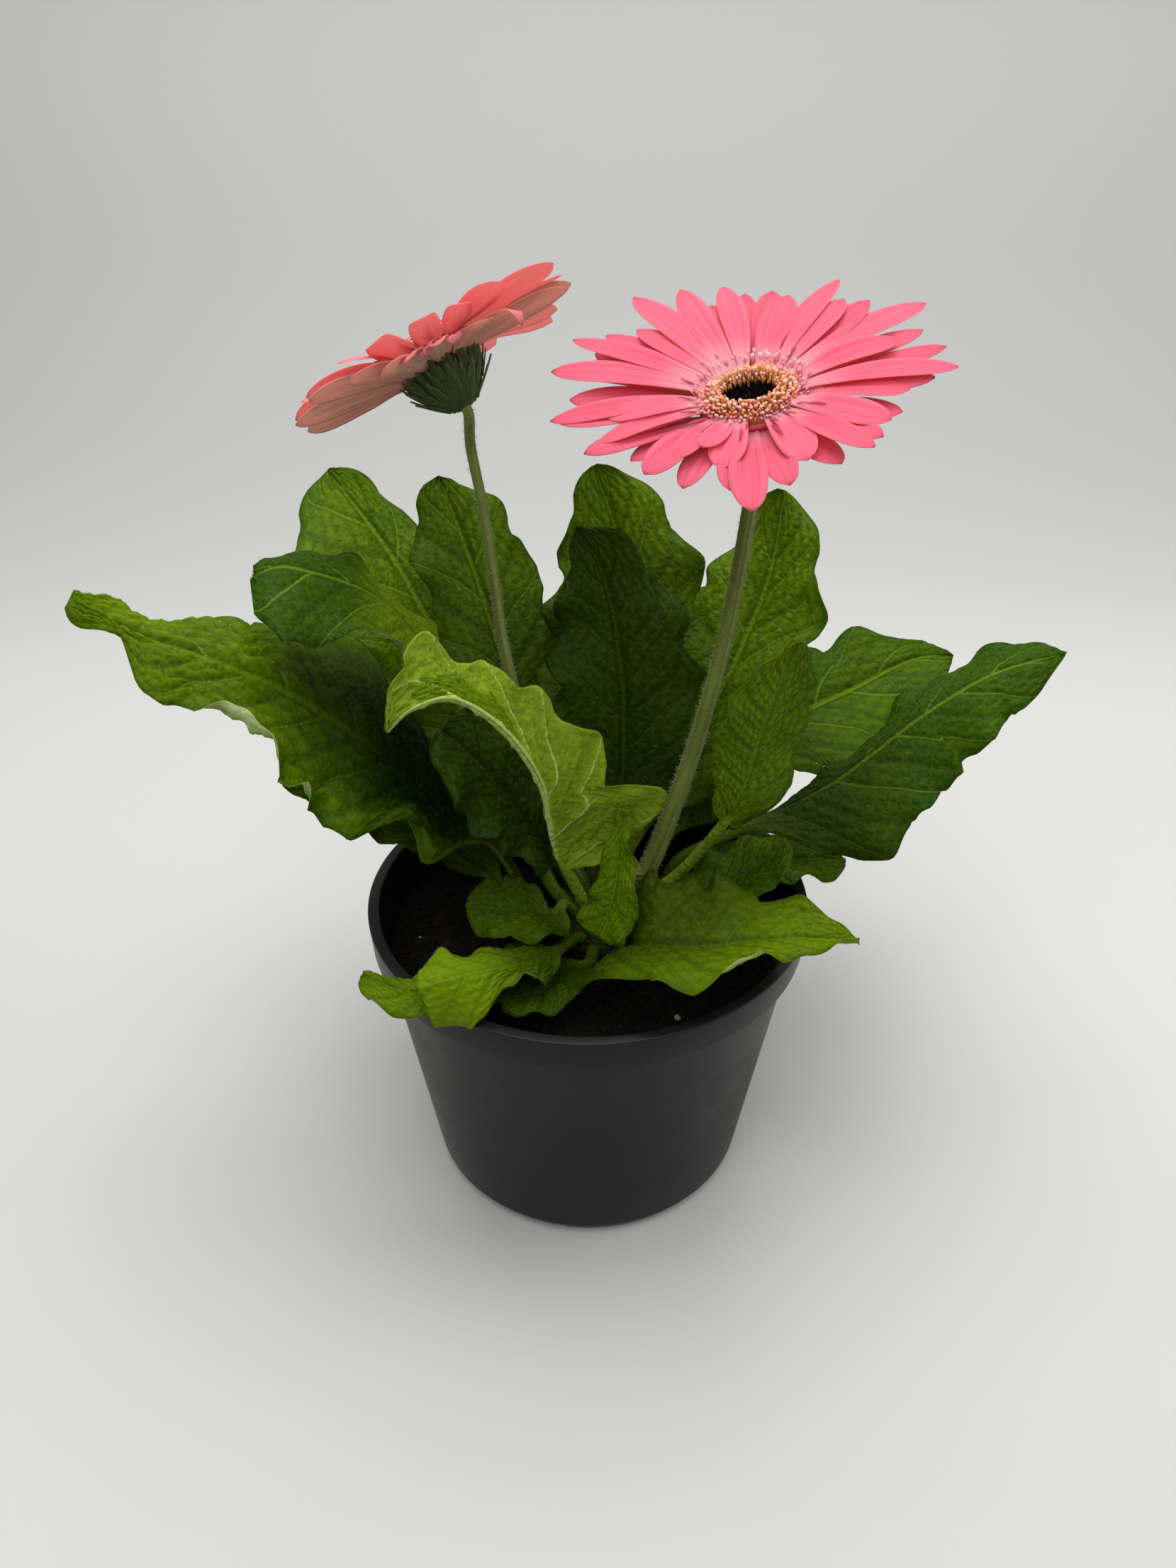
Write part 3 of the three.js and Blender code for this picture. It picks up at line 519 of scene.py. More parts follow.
def walk(points, shares, fineness=60):
    """Places and unit directions at these shares of the length of a smooth curve through the points."""
    points = np.array(points, float)
    ends = np.vstack([2 * points[0] - points[1], points, 2 * points[-1] - points[-2]])
    t = np.linspace(0, 1, fineness, endpoint=False)[:, None]
    runs = []
    for i in range(len(points) - 1):
        before, here, there, after = ends[i : i + 4]
        pull = 0.5 * (there - before)
        push = 0.5 * (after - here)
        cubic = 2 * here - 2 * there + pull + push
        square = -3 * here + 3 * there - 2 * pull - push
        runs.append(cubic * t**3 + square * t**2 + pull * t + here)
    fine = np.vstack([*runs, points[-1:]])
    length = np.concatenate([[0], np.cumsum(np.linalg.norm(np.diff(fine, axis=0), axis=1))])
    wanted = np.asarray(shares) * length[-1]
    step = length[-1] * 1e-3

    def at(s):
        return np.column_stack([np.interp(s, length, fine[:, k]) for k in range(3)])

    directions = at(np.minimum(wanted + step, length[-1])) - at(np.maximum(wanted - step, 0))
    directions /= np.linalg.norm(directions, axis=1)[:, None]
    return at(wanted), directions, length[-1]


def bent(lean, length):
    """How far a strip runs on and up to each of its rows, which lean so from level."""
    step = length / (len(lean) - 1)
    mean = (lean[1:] + lean[:-1]) / 2
    return [np.concatenate([[0], np.cumsum(step * part(mean))]) for part in (np.cos, np.sin)]


# %% Closing a thin sheet
def sheet_faces(rows, columns, first=0):
    """The quads of a closed sheet: a grid of top points, then the same grid of underside points."""
    i, k = np.meshgrid(np.arange(rows - 1), np.arange(columns - 1), indexing="ij")
    a = (i * columns + k).ravel()
    b = a + columns
    size = rows * columns
    top = np.column_stack([a, a + 1, b + 1, b])
    bottom = np.column_stack([a, b, b + 1, a + 1]) + size
    side = np.arange(rows - 1) * columns
    left = np.column_stack([side + size, side, side + columns, side + columns + size])
    right = left[:, ::-1] + columns - 1
    end = np.arange(columns - 1)
    start_cap = np.column_stack([end, end + size, end + size + 1, end + 1])
    end_cap = start_cap[:, ::-1] + (rows - 1) * columns
    return np.vstack([top, bottom, left, right, start_cap, end_cap]) + first


def both(grid):
    """The same value for a point of the top and the point of the underside below it."""
    return np.tile(np.asarray(grid).ravel(), 2)


def mesh_object(name, points, faces, attributes, material, polygons_smooth=True):
    """A mesh object from points in millimetres, with a number for each point under each attribute's name."""
    mesh = bpy.data.meshes.new(name)
    mesh.from_pydata((np.asarray(points) * MM).tolist(), [], [list(map(int, f)) for f in faces])
    for label, values in attributes.items():
        layer = mesh.attributes.new(label, "FLOAT", "POINT")
        layer.data.foreach_set("value", np.asarray(values, np.float32).ravel())
    if polygons_smooth:
        mesh.shade_smooth()
    mesh.materials.append(material)
    return added(name, mesh)


def fit(piece, slot, *nodes):
    """Puts a finished piece on the part in place of these solids."""
    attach(piece, "root")
    if nodes:
        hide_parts(*nodes)
    return piece


# %% Rings of points and the faces between them, for everything round
def around(sides):
    """Angles spaced evenly round a circle."""
    return [2 * math.pi * j / sides for j in range(sides)]


def ring_faces(rings, sides, first=0, downwards=False):
    """The quads between rings of points that follow each other upwards, or downwards."""
    faces = []
    for a in range(first, first + (rings - 1) * sides, sides):
        b = a + sides
        for j in range(sides):
            n = (j + 1) % sides
            faces.append((a + j, b + j, b + n, a + n) if downwards else (a + j, a + n, b + n, b + j))
    return faces


def turned_part(name, profile, sides, material, bend=0.0, sunk=0.0):
    """A round part along +Z from (radius, height) pairs, closed at both ends and then sunk by so much."""
    top = profile[-1][1]
    points = []
    along = []
    for radius, height in profile:
        lean = bend * (height / top) ** 2
        points += [(radius * math.cos(a) + lean, radius * math.sin(a), height) for a in around(sides)]
        along += [height / top] * sides
    faces = ring_faces(len(profile), sides)
    faces.append(tuple(range(sides))[::-1])
    faces.append(tuple(range(len(points) - sides, len(points))))
    part = mesh_object(name, points, faces, {"along": along}, material)
    part.data.transform(Matrix.Translation((0, 0, -sunk * MM)))
    return part

# %% [markdown]
# ## Leaves
#
# A gerbera leaf is a long lobed blade on a petiole. A strong midrib runs down it, and a side vein leaves
# the midrib for the point of each lobe. Between the veins the blade is quilted, and its margin waves,
# because it grew faster than its middle.
#
# It could be a flat card with a picture of a leaf on it, but this plant is seen from close by and from all
# sides. So each leaf is a curved sheet, worked out row by row along its midrib: first how far each half
# reaches, then how the half folds and curls, and last the quilting and the ripple of its margin.

# %% Where each leaf grows
# root is the direction in which a leaf leaves the crown, as azimuth and elevation, and way is the path of
# its midrib. stalk is the petiole's share of it, quick how soon the petiole turns into blade, and blunt
# how full the tip is. broadest is the place of the greatest width, lobes is their count, cut their depth
# on each half, wave the height of the margin's ripple and quilt that of the pads. left and right give each
# half's fold from level and its curl towards the margin, in degrees, as values spaced evenly from the
# blade's foot to its tip. In the same way reach widens a half, sweep moves its margin towards the tip,
# tone gives the colour of the upper face, partly a fresher green and partly painted light and painted
# shade, and roll turns the blade round its midrib. edges lists stretches of margin that roll: half, place
# along the blade, half length, angle, and where on the half the bend starts. A turned leaf shows its
# underside. The painted shade value darkens a leaf, as painted shade, inside the radius that shade gives,
# over the run that follows it, except for the share lit of its right margin.
CROWN_CENTRE = np.array([4.0, 2.0, 90.0])
CROWN_RADIUS = 16
ROOT_RUN = 9
ROOT_SUNK = 2.5  # how far a petiole goes into the crown

LEAF_PLAIN = {
    "stalk": 0.2, "width": 56, "broadest": 0.6, "lobes": 5, "cut": (0.22, 0.22), "roll": (0, 0),
    "left": ((30, 12), (-20, -30)), "right": ((30, 12), (-20, -30)),
    "wave": 2.6, "quilt": 1.5, "tone": 0.1, "quick": 1, "blunt": 0, "turned": False, "painted_shade": 0.75,
    "shade": (38, 62), "lit": 0, "reach": ((1, 1), (1, 1)), "sweep": ((0, 0), (0, 0)), "edges": [],
}
LEAVES = {
    "leaf_left_long": {
        "painted_shade": 1, "shade": (58, 52), "lit": 0.75, "tone": (0.2, 0.2, 0.3, 0.4, 0.45), "root": (183, 26),
        "way": [(-31, -2, 129), (-52, -6, 154), (-91, -14, 193), (-127, -22, 215), (-144, -26, 227)],
        "width": 70, "broadest": 0.42, "lobes": 6, "roll": (-24, -18),
        "left": ((-2, -6), (-18, -10)), "right": ((-12, -8), (-14, -20)), "quilt": 3.0,
        "edges": [("left", 0.66, 0.085, 160, 0.58), ("left", 0.49, 0.03, 110, 0.7)],
        "reach": (
            (1, 1, 1, 0.85, 0.62, 0.62, 0.75, 0.95, 1.1, 1, 0.92,
             1, 1.05, 0.8, 0.76, 0.84, 1, 0.85, 0.4, 0.6, 1),
            (1.35, 1.31, 1.3, 1.45, 1.8, 1.9, 1.4, 1.07, 1.03, 0.75, 1),
        ),
    },
    "leaf_front_arch": {
        "painted_shade": 0, "root": (252, 55),
        "way": [
            (-10, -14, 136), (-14, -26, 167), (-23, -40, 193), (-35, -52, 210), (-45, -62, 213),
            (-51, -70, 211),
        ],
        "stalk": 0.17, "width": 62, "broadest": 0.4, "lobes": 6, "quick": 2, "wave": 1.2,
        "left": ((54, 56, 60, 88, 110, 124, 138, 150, 146, 128, 100), (-24, -24)),
        "right": ((46, 36), (0, 0)), "tone": (1.3, 1.2, 0.9, 0.5, 0.5, 0.5),
        "reach": (
            (1.2, 1.2, 1.15, 1.35, 1.6, 0.92, 0.9, 0.9, 0.85, 0.85, 0.8,
             0.8, 0.8, 0.8, 0.82, 0.86, 0.95, 1.1, 1.3, 1.5, 1.2),
            (0.6, 0.5),
        ),
        "sweep": ((-10, -10, -10, -6, 3, *16 * [0]), (0, 0)),
    },
    "leaf_left_mid": {
        "painted_shade": 0.25, "root": (184, 50),
        "way": [(-26, 10, 138), (-41, 12, 173), (-53, 10, 199), (-66, 6, 216), (-88, 2, 226), (-99, 1, 224)],
        "stalk": 0.3, "width": 46, "roll": (-20, -20), "right": ((-20, -20), (-10, -10)), "blunt": 0.6,
        "cut": (0.12, 0.12), "tone": (1.3, 1.3, 1.3, 0.9, -0.7, -0.8),
        "edges": [("left", 0.5, 0.2, 100, 0.45)],
        "reach": ((1, 1, 1, 1.1, 1.2, 1.15, 1.05, 1.1, 1.2, 1.6, 1.2), (0.75, 0.75, 0.7, 0.6, 0.7, 0.8)),
    },
    "leaf_back_left": {
        "painted_shade": 0.6, "root": (146, 32),
        "way": [(-31, 50, 137), (-55, 76, 167), (-72, 94, 191), (-87, 106, 208), (-97, 112, 219)],
        "stalk": 0.13, "width": 68, "tone": 0.15,
        "reach": (
            (1, 1, 1, 1, 1.1, 1.2, 1.3, 1.4, 1.4, 1.4, 1.2),
            (1, 1, 1, 1, 1, 0.95, 0.9, 0.8, 0.8, 0.5, 0.5),
        ),
    },
    "leaf_back_left_inner": {
        "root": (124, 52),
        "way": [(-21, 42, 142), (-33, 62, 174), (-42, 76, 198), (-53, 90, 224)],
        "stalk": 0.13, "width": 52,
    },
    "leaf_back": {
        "painted_shade": 0.7, "root": (94, 48),
        "way": [(10, 40, 134), (14, 60, 170), (12, 78, 200), (2, 90, 228)],
        "stalk": 0.13, "width": 68, "broadest": 0.45, "tone": 0.3,
    },
    "leaf_back_inner": {
        "root": (80, 72),
        "way": [(11, 20, 132), (12, 30, 163), (9, 40, 190), (4, 45, 208), (-4, 48, 221)],
        "stalk": 0.13, "width": 60, "broadest": 0.4,
    },
    "leaf_back_right": {
        "painted_shade": 0.6, "root": (60, 50),
        "way": [(33, 42, 133), (54, 66, 164), (67, 84, 192), (71, 96, 217)],
        "stalk": 0.13, "width": 68, "broadest": 0.45, "tone": 0.3,
    },
    "leaf_right_long": {
        "painted_shade": 0.9, "shade": (50, 90), "root": (16, 28),
        "way": [(32, 8, 116), (56, 14, 126), (85, 20, 141), (113, 28, 161), (136, 32, 175), (160, 34, 182)],
        "stalk": 0.27, "width": 64, "broadest": 0.45, "roll": (24, 20),
        "left": ((-20, -14), (-10, -14)), "right": ((-8, -6), (-14, -14)), "tone": -0.2,
        "reach": ((0.4, 0.2, 0.15, 0.17, 0.25, 0.38, 0.42, 0.7, 0.75, 0.9, 1),
                  (1.2, 0.7, 1.1, 1.1, 1.08, 0.75, 0.98, 0.84, 0.95, 0.75, 0.62)),
    },
    "leaf_right_back": {
        "painted_shade": 0.7, "root": (42, 30),
        "way": [(39, 45, 119), (70, 70, 132), (103, 90, 139), (129, 100, 147), (145, 104, 146)],
        "stalk": 0.13, "width": 84, "broadest": 0.45, "roll": (26, 20), "tone": -0.05,
        "reach": (
            (1, 1, 1, 1, 1, 0.9, 0.8, 0.75, 0.75, 0.8, 1),
            (1, 0.9, 0.7, 0.4, 0.65, 0.85, 1, 1, 1, 1, 1),
        ),
    },
    "leaf_right_young": {
        "painted_shade": 0, "root": (335, 50),
        "way": [(32, -6, 122), (47, -14, 153), (52, -20, 182), (56, -24, 203), (59, -25, 215)],
        "stalk": 0.42, "width": 32, "broadest": 0.4, "cut": (0.1, 0.14), "roll": (-42, -42), "wave": 1.2,
        "quilt": 1.8, "tone": 0.42, "quick": 4, "blunt": 0.25, "turned": True,
        "sweep": ((-16, -13, -7, -2, 0, 0, 0, 0, 0, 0, 0), (0, 0)),
        "reach": (
            (2, 2, 1.8, 1.45, 1.25, 1.15, 1.1, 1, 1, 1, 1),
            (0.9, 0.8, 0.8, 0.8, 0.85, 0.9, 1, 1, 1, 1, 1),
        ),
    },
    "leaf_front_right_low": {
        "painted_shade": 0.7, "shade": (44, 36), "root": (292, 24),
        "way": [(16, -34, 112), (38, -42, 118), (62, -43, 122), (83, -47, 124)],
        "stalk": 0.04, "width": 57, "broadest": 0.34, "cut": (0.2, 0.07),
        "left": ((30, 24), (-6, 0)), "right": ((24, 18), (-26, -24)), "tone": 0.7,
        "edges": [("right", 0.62, 0.06, 120, 0.75)],
        "reach": ((1, 1), (1, 1, 0.95, 0.95, 0.95, 0.9, 0.9, 0.75, 0.6, 0.6, 1)),
    },
    "leaf_front_left_low": {
        "painted_shade": 0.6, "shade": (48, 26), "root": (244, 26),
        "way": [(-12, -37, 111), (-23, -53, 120), (-36, -62, 124), (-50, -66, 122)],
        "width": 38, "broadest": 0.5, "lobes": 3, "cut": (0.04, 0.06), "tone": (0.2, 0.3, 0.5, 1.2, 1.7),
        "blunt": 0.8, "wave": 1.6,
        "left": ((-20, -30, -50, -66, -70), (-10, -16)), "right": ((10, 0), (-16, -20)),
        "edges": [("left", 0.52, 0.07, 150, 0.3), ("left", 0.14, 0.07, 150, 0.3)],
        "reach": ((0.7, 0.6, 0.45, 0.6, 0.55, 0.35, 0.3, 0.65, 0.85, 0.9, 0.9), (0.7, 0.6)),
    },
    "leaf_left_low": {
        "painted_shade": 0, "root": (213, 22),
        "way": [(-24, -30, 105), (-39, -48, 107), (-54, -54, 110), (-70, -49, 112)],
        "width": 24, "cut": (0.1, 0.14), "tone": 0.55, "wave": 1.4,
        "left": ((8, -4), (-20, -26)), "right": ((24, 12), (-20, -30)), "reach": ((1, 1), (0.5, 0.6)),
    },
    "leaf_left_inner": {
        "root": (215, 70),
        "way": [(-14, -6, 131), (-25, -8, 150), (-36, -11, 168), (-45, -13, 179)],
        "width": 46, "roll": (-40, -40),
    },
    "leaf_left_shaded": {
        "painted_shade": 0.45, "root": (222, 50),
        "way": [(-12, -15, 108), (-24, -19, 114), (-40, -20, 117)],
        "width": 42, "lobes": 4, "wave": 1.4, "cut": (0.12, 0.12), "tone": 0.3,
    },
    "leaf_right_low": {
        "root": (352, 20),
        "way": [(42, 6, 110), (62, 10, 113), (77, 12, 113), (90, 14, 111)],
        "width": 34, "lobes": 4, "wave": 1.4,
    },
    "leaf_right_inner": {
        "painted_shade": 0.55, "root": (322, 26),
        "way": [(31, -12, 110), (48, -10, 119), (60, -6, 127), (66, -3, 132)],
        "width": 36, "lobes": 4, "wave": 1.4, "cut": (0.14, 0.14),
    },
    "leaf_left_under": {
        "root": (196, 16),
        "way": [(-36, 8, 110), (-64, 12, 126), (-90, 8, 144), (-102, 4, 150)],
        "width": 38, "roll": (-20, -20), "tone": 0.4, "reach": ((0.5, 0.5), (1, 1)),
    },
    "leaf_front_low": {
        "root": (262, 12),
        "way": [(-4, -30, 99), (-14, -46, 103), (-26, -57, 106)],
        "width": 26, "lobes": 4, "wave": 1.2, "cut": (0.12, 0.12),
    },
    "leaf_rear_left": {
        "root": (122, 24),
        "way": [(-26, 46, 112), (-48, 74, 126), (-68, 98, 135), (-84, 118, 132)],
        "width": 54, "tone": 0.3,
    },
    "leaf_rear": {
        "root": (96, 22),
        "way": [(2, 46, 110), (4, 78, 124), (4, 108, 138), (4, 132, 144)],
        "width": 54,
    },
    "leaf_rear_right": {
        "root": (70, 26),
        "way": [(23, 48, 110), (40, 80, 117), (60, 108, 122), (76, 128, 116)],
        "width": 52, "tone": 0.2,
    },
}
# The lowest lobe of the arched leaf is turned over and hangs down before its petiole, upper face outwards.
FLAP = {
    "painted_shade": 0, "from": (11.5, -14, 151),
    "way": [(9.5, -20, 140), (8.6, -25, 129), (6, -27, 119), (2.5, -28, 111)],
    "stalk": 0, "width": 21, "broadest": 0.6, "blunt": 0.7, "lobes": 3, "cut": (0.1, 0.06), "quick": 4,
    "left": ((34, 20), (-20, -40)), "right": ((20, 10), (-30, -10)), "wave": 1.5, "quilt": 0.6, "tone": 0.35,
    "reach": ((1, 1), (0.6, 0.75)),
}
print(len(LEAVES), "leaves")

# %% The reach and the lobes of a blade
HALVES = ("left", "right")
LEAF_ROWS_PER_LOBE = 18
PETIOLE_ROWS = 16
WHOLE_ROLL = 165  # a margin rolled by this angle shows only its underside
HALF_COLUMNS = 22
PETIOLE_RADIUS = 2.3
PETIOLE_TIP_RADIUS = 1.1
BLADE_THICKNESS = 0.55
MIDRIB_DEPTH = 1.8
SMALLEST_REACH = 0.5
GROOVE_DEPTH = 0.7  # above the midrib
GROOVE_BREADTH = 1.6
MIDRIB_BREADTH = 1.9
SIDE_RIB_DEPTH = 0.55
SIDE_RIB_BREADTH = 0.9
PAD_ROWS = 6  # pads between the midrib and the margin
WAVES = 3.3  # along a margin
SIDE_VEIN_SLANT = 0.8


def heading(azimuth, elevation):
    a = math.radians(azimuth)
    e = math.radians(elevation)
    return np.array([math.cos(a) * math.cos(e), math.sin(a) * math.cos(e), math.sin(e)])


def evenly(b, values):
    """The value at b, when these values are spaced evenly from 0 to 1."""
    return np.interp(b, np.linspace(0, 1, len(values)), values)


def bulge(distance, breadth):
    """1 at no distance, falling off softly over the breadth."""
    return np.exp(-((distance / breadth) ** 2))


def reach_of(b, leaf, half, shift, number):
    """How far a half of the blade reaches at b: an oval, cut in between rounded lobes with small teeth."""
    broadest = leaf["broadest"]
    foot = (np.maximum(b, 1e-4) / broadest) ** (1.15 * broadest)
    tip = (np.maximum(1 - b, 1e-5) / (1 - broadest)) ** (1.15 * (1 - broadest) * (1 - leaf["blunt"]))
    part = b * leaf["lobes"] + shift
    lobe = np.floor(part)
    cleft = 0.7 * np.cos(math.pi * part) ** 2 + 0.3 * np.abs(2 * (part - lobe) - 1)
    teeth = 0.025 * np.abs(np.sin(3 * math.pi * part + 0.9))
    uneven = np.array([1 + 0.07 * scatter(n + 13 * number, 21 + shift) for n in lobe])
    whole = leaf["width"] / 2 * foot * tip * uneven * evenly(b, leaf["reach"][half])
    return np.maximum(whole * (1 - leaf["cut"][half] * cleft - teeth), SMALLEST_REACH)


# %% One half of a blade
def half_section(b, leaf, half, shift, number):
    """Out, up and lean of every point of one half, from the midrib to the margin, for each row."""
    fold, curl = leaf[HALVES[half]]
    a = np.linspace(0, 1, HALF_COLUMNS + 1)[None, :] ** 1.1
    bend = evenly(b, fold) + evenly(b, curl) * a
    rolled = 0 * bend
    for side, middle, breadth, angle, first in leaf["edges"]:
        if side == HALVES[half]:
            share = bulge(b - middle, breadth) * smooth((a - first) / (1 - first))
            bend = bend + angle * share
            rolled = np.maximum(rolled, share * (angle / WHOLE_ROLL) ** 2)
    lean = np.radians(bend)
    step = np.diff(a, axis=1) * reach_of(b[:, 0], leaf, half, shift, number)[:, None]
    mean = (lean[:, 1:] + lean[:, :-1]) / 2
    zero = np.zeros((len(b), 1))
    out, up = [np.hstack([zero, np.cumsum(step * part(mean), axis=1)]) for part in (np.cos, np.sin)]
    phase = 0.37 * number
    long_waves = leaf["wave"] * a**2 * np.sin(2 * math.pi * (WAVES * b + phase + 0.7 * shift))
    short_waves = 0.45 * leaf["wave"] * a**4 * np.sin(2 * math.pi * (leaf["lobes"] * b * 1.5 + phase))
    return a, out, up, lean, rolled, long_waves + short_waves


def quilting(rank, a, number):
    """How far up, from 0 to 1, the pads stand between the veins of a half."""
    cell = np.floor(2 * rank)
    from_half_way = np.abs(2 * (2 * rank - cell) - 1)
    row_height = np.abs(np.sin(2 * math.pi * rank)) ** 0.6 * (1 - 0.5 * bulge(from_half_way, 0.22))
    rows = PAD_ROWS * a + 0.61 * cell + 0.23 * np.sin(5.1 * rank + number)
    pads = 0.35 + 0.65 * np.abs(np.sin(math.pi * rows)) ** 0.8
    clear_of_rib = smooth(a / 0.12)
    clear_of_margin = 1 - 0.7 * smooth((a - 0.82) / 0.18)
    return row_height * pads * clear_of_rib * clear_of_margin


# %% The midrib of a leaf: its rows, and the side and up directions at each
def midrib(leaf):
    if "from" in leaf:
        start = np.array(leaf["from"], float)
        way = [start, *leaf["way"]]
    else:
        root = heading(*leaf["root"])
        start = CROWN_CENTRE + root * (CROWN_RADIUS + 0.3)
        way = [start, start + root * ROOT_RUN, *leaf["way"]]
    stalk = leaf["stalk"]
    on_stalk = np.linspace(0, stalk, PETIOLE_ROWS if stalk else 0, endpoint=False)
    on_blade = np.linspace(stalk, 1, leaf["lobes"] * LEAF_ROWS_PER_LOBE + 1)
    shares = np.concatenate([on_stalk, on_blade])
    at, along, length = walk(way, shares)
    if "from" not in leaf:
        at[0] -= root * ROOT_SUNK
    b = np.clip((shares - stalk) / (1 - stalk), 0, 1)[:, None]

    compass = math.atan2(way[-1][1] - start[1], way[-1][0] - start[0])
    level = np.array([-math.sin(compass), math.cos(compass), 0])
    side = level - along * (along @ level)[:, None]
    side /= np.linalg.norm(side, axis=1)[:, None]
    up = np.cross(along, side)
    roll = np.radians(leaf["roll"][0] + (leaf["roll"][1] - leaf["roll"][0]) * b)
    rolled_side = side * np.cos(roll) + up * np.sin(roll)
    rolled_up = up * np.cos(roll) - side * np.sin(roll)
    return shares, b, at, along, rolled_side, rolled_up, length * (1 - stalk)


# %% One leaf
def leaf_piece(name, given, number):
    leaf = {**LEAF_PLAIN, **given}
    shares, b, at, along, side, up, blade_length = midrib(leaf)
    radius = (PETIOLE_RADIUS + (PETIOLE_TIP_RADIUS - PETIOLE_RADIUS) * shares)[:, None]
    grown = smooth(b * leaf["lobes"] * leaf["quick"])
    face = -1 if leaf["turned"] else 1
    slant = SIDE_VEIN_SLANT * (leaf["width"] / 2) / blade_length
    grids = {"top": [], "under": [], "rank": [], "across": [], "pad": [], "rolled": []}
    for half, sign in enumerate((1, -1)):
        shift = (0.5, 0.0)[half]
        a, out, lift, lean, rolled, ripple = half_section(b, leaf, half, shift, number)
        rank = (b + slant * (1 - a)) * leaf["lobes"]
        own_rank = rank + shift
        pads = quilting(own_rank, a, number + 7 * shift) * grown
        groove = -GROOVE_DEPTH * bulge(out, GROOVE_BREADTH) * (1 - 0.6 * b)
        to_vein = np.abs(own_rank - np.floor(own_rank) - 0.5) * blade_length / leaf["lobes"]
        rib = MIDRIB_DEPTH * (1 - b) * bulge(out, MIDRIB_BREADTH * (1.15 - b))
        side_rib = SIDE_RIB_DEPTH * (1 - a) ** 0.5 * bulge(to_vein, SIDE_RIB_BREADTH)
        thick = BLADE_THICKNESS * (1 - 0.5 * a) + rib + side_rib
        smooth_side = ripple + face * (leaf["quilt"] * pads + groove)
        ribbed_side = smooth_side - face * thick
        angle = math.radians(88) * a
        stalk_x = radius * np.sin(angle)
        stalk_z = radius * np.cos(angle)
        sweep = evenly(b, leaf["sweep"][half]) * a**1.5 * grown
        spine = at[:, None] + along[:, None] * sweep[..., None]
        across = np.broadcast_to(-sign * a, rank.shape)
        made = {"rank": rank, "across": across, "pad": pads, "rolled": rolled}
        for key, height, stalk_height in (
            ("top", ribbed_side if leaf["turned"] else smooth_side, 0.8 * stalk_z),
            ("under", smooth_side if leaf["turned"] else ribbed_side, -stalk_z),
        ):
            x = out - height * np.sin(lean) * smooth(a / 0.2)
            x = stalk_x + (x - stalk_x) * grown
            z = stalk_height * (1 - grown) + (lift + height * np.cos(lean)) * grown
            made[key] = spine + side[:, None] * (sign * x)[..., None] + up[:, None] * z[..., None]
        for key, grid in made.items():
            grids[key].append(grid[:, ::-1] if half == 0 else grid[:, 1:])
    whole = {key: np.concatenate(pair, axis=1) for key, pair in grids.items()}
    rows, columns = whole["rank"].shape
    points = np.vstack([whole["top"].reshape(-1, 3), whole["under"].reshape(-1, 3)])
    shade_from, shade_run = leaf["shade"]
    # Painted shade: it falls off with the distance from the pot's axis.
    shaded = 1 - smooth((np.hypot(points[:, 0], points[:, 1]) - shade_from) / shade_run)
    attributes = {key: both(whole[key]) for key in ("rank", "across", "pad", "rolled")}
    lit_margin = leaf["lit"] * smooth((-attributes["across"] - 0.5) / 0.45)
    attributes["under"] = np.repeat([1.0, 0.0] if leaf["turned"] else [0.0, 1.0], rows * columns)
    attributes["blade"] = both(np.repeat(grown, columns, axis=1))
    attributes["tone"] = both(np.repeat(evenly(b, np.atleast_1d(leaf["tone"])), columns, axis=1))
    attributes["painted_shade"] = leaf["painted_shade"] * shaded * (1 - lit_margin)
    return mesh_object(f"{name}_fine", points, sheet_faces(rows, columns), attributes, leaf_finish)


# %% Grow the leaves
FLAP_NUMBER = 30  # keeps its random draws clear of those of the other leaves

for number, (name, given) in enumerate(LEAVES.items()):
    fit(leaf_piece(name, given, number), "leaf", name)
fit(leaf_piece("leaf_front_arch_flap", FLAP, FLAP_NUMBER), "leaf")

# %% [markdown]
# ## Blooms
#
# What looks like one flower is a head of many. Long rays make its outline, and a disc of small florets
# fills its middle: open ones with pink tubes outside, yellow and cream buds inside, and a dark eye of
# closed ones. Underneath, green bracts form a cup on the stem.
#
# The rays are long thin sheets, so they are made as the leaves are, each with its own direction, length
# and rise, because no two on a head agree. What stands in rings is repeated by Geometry Nodes.

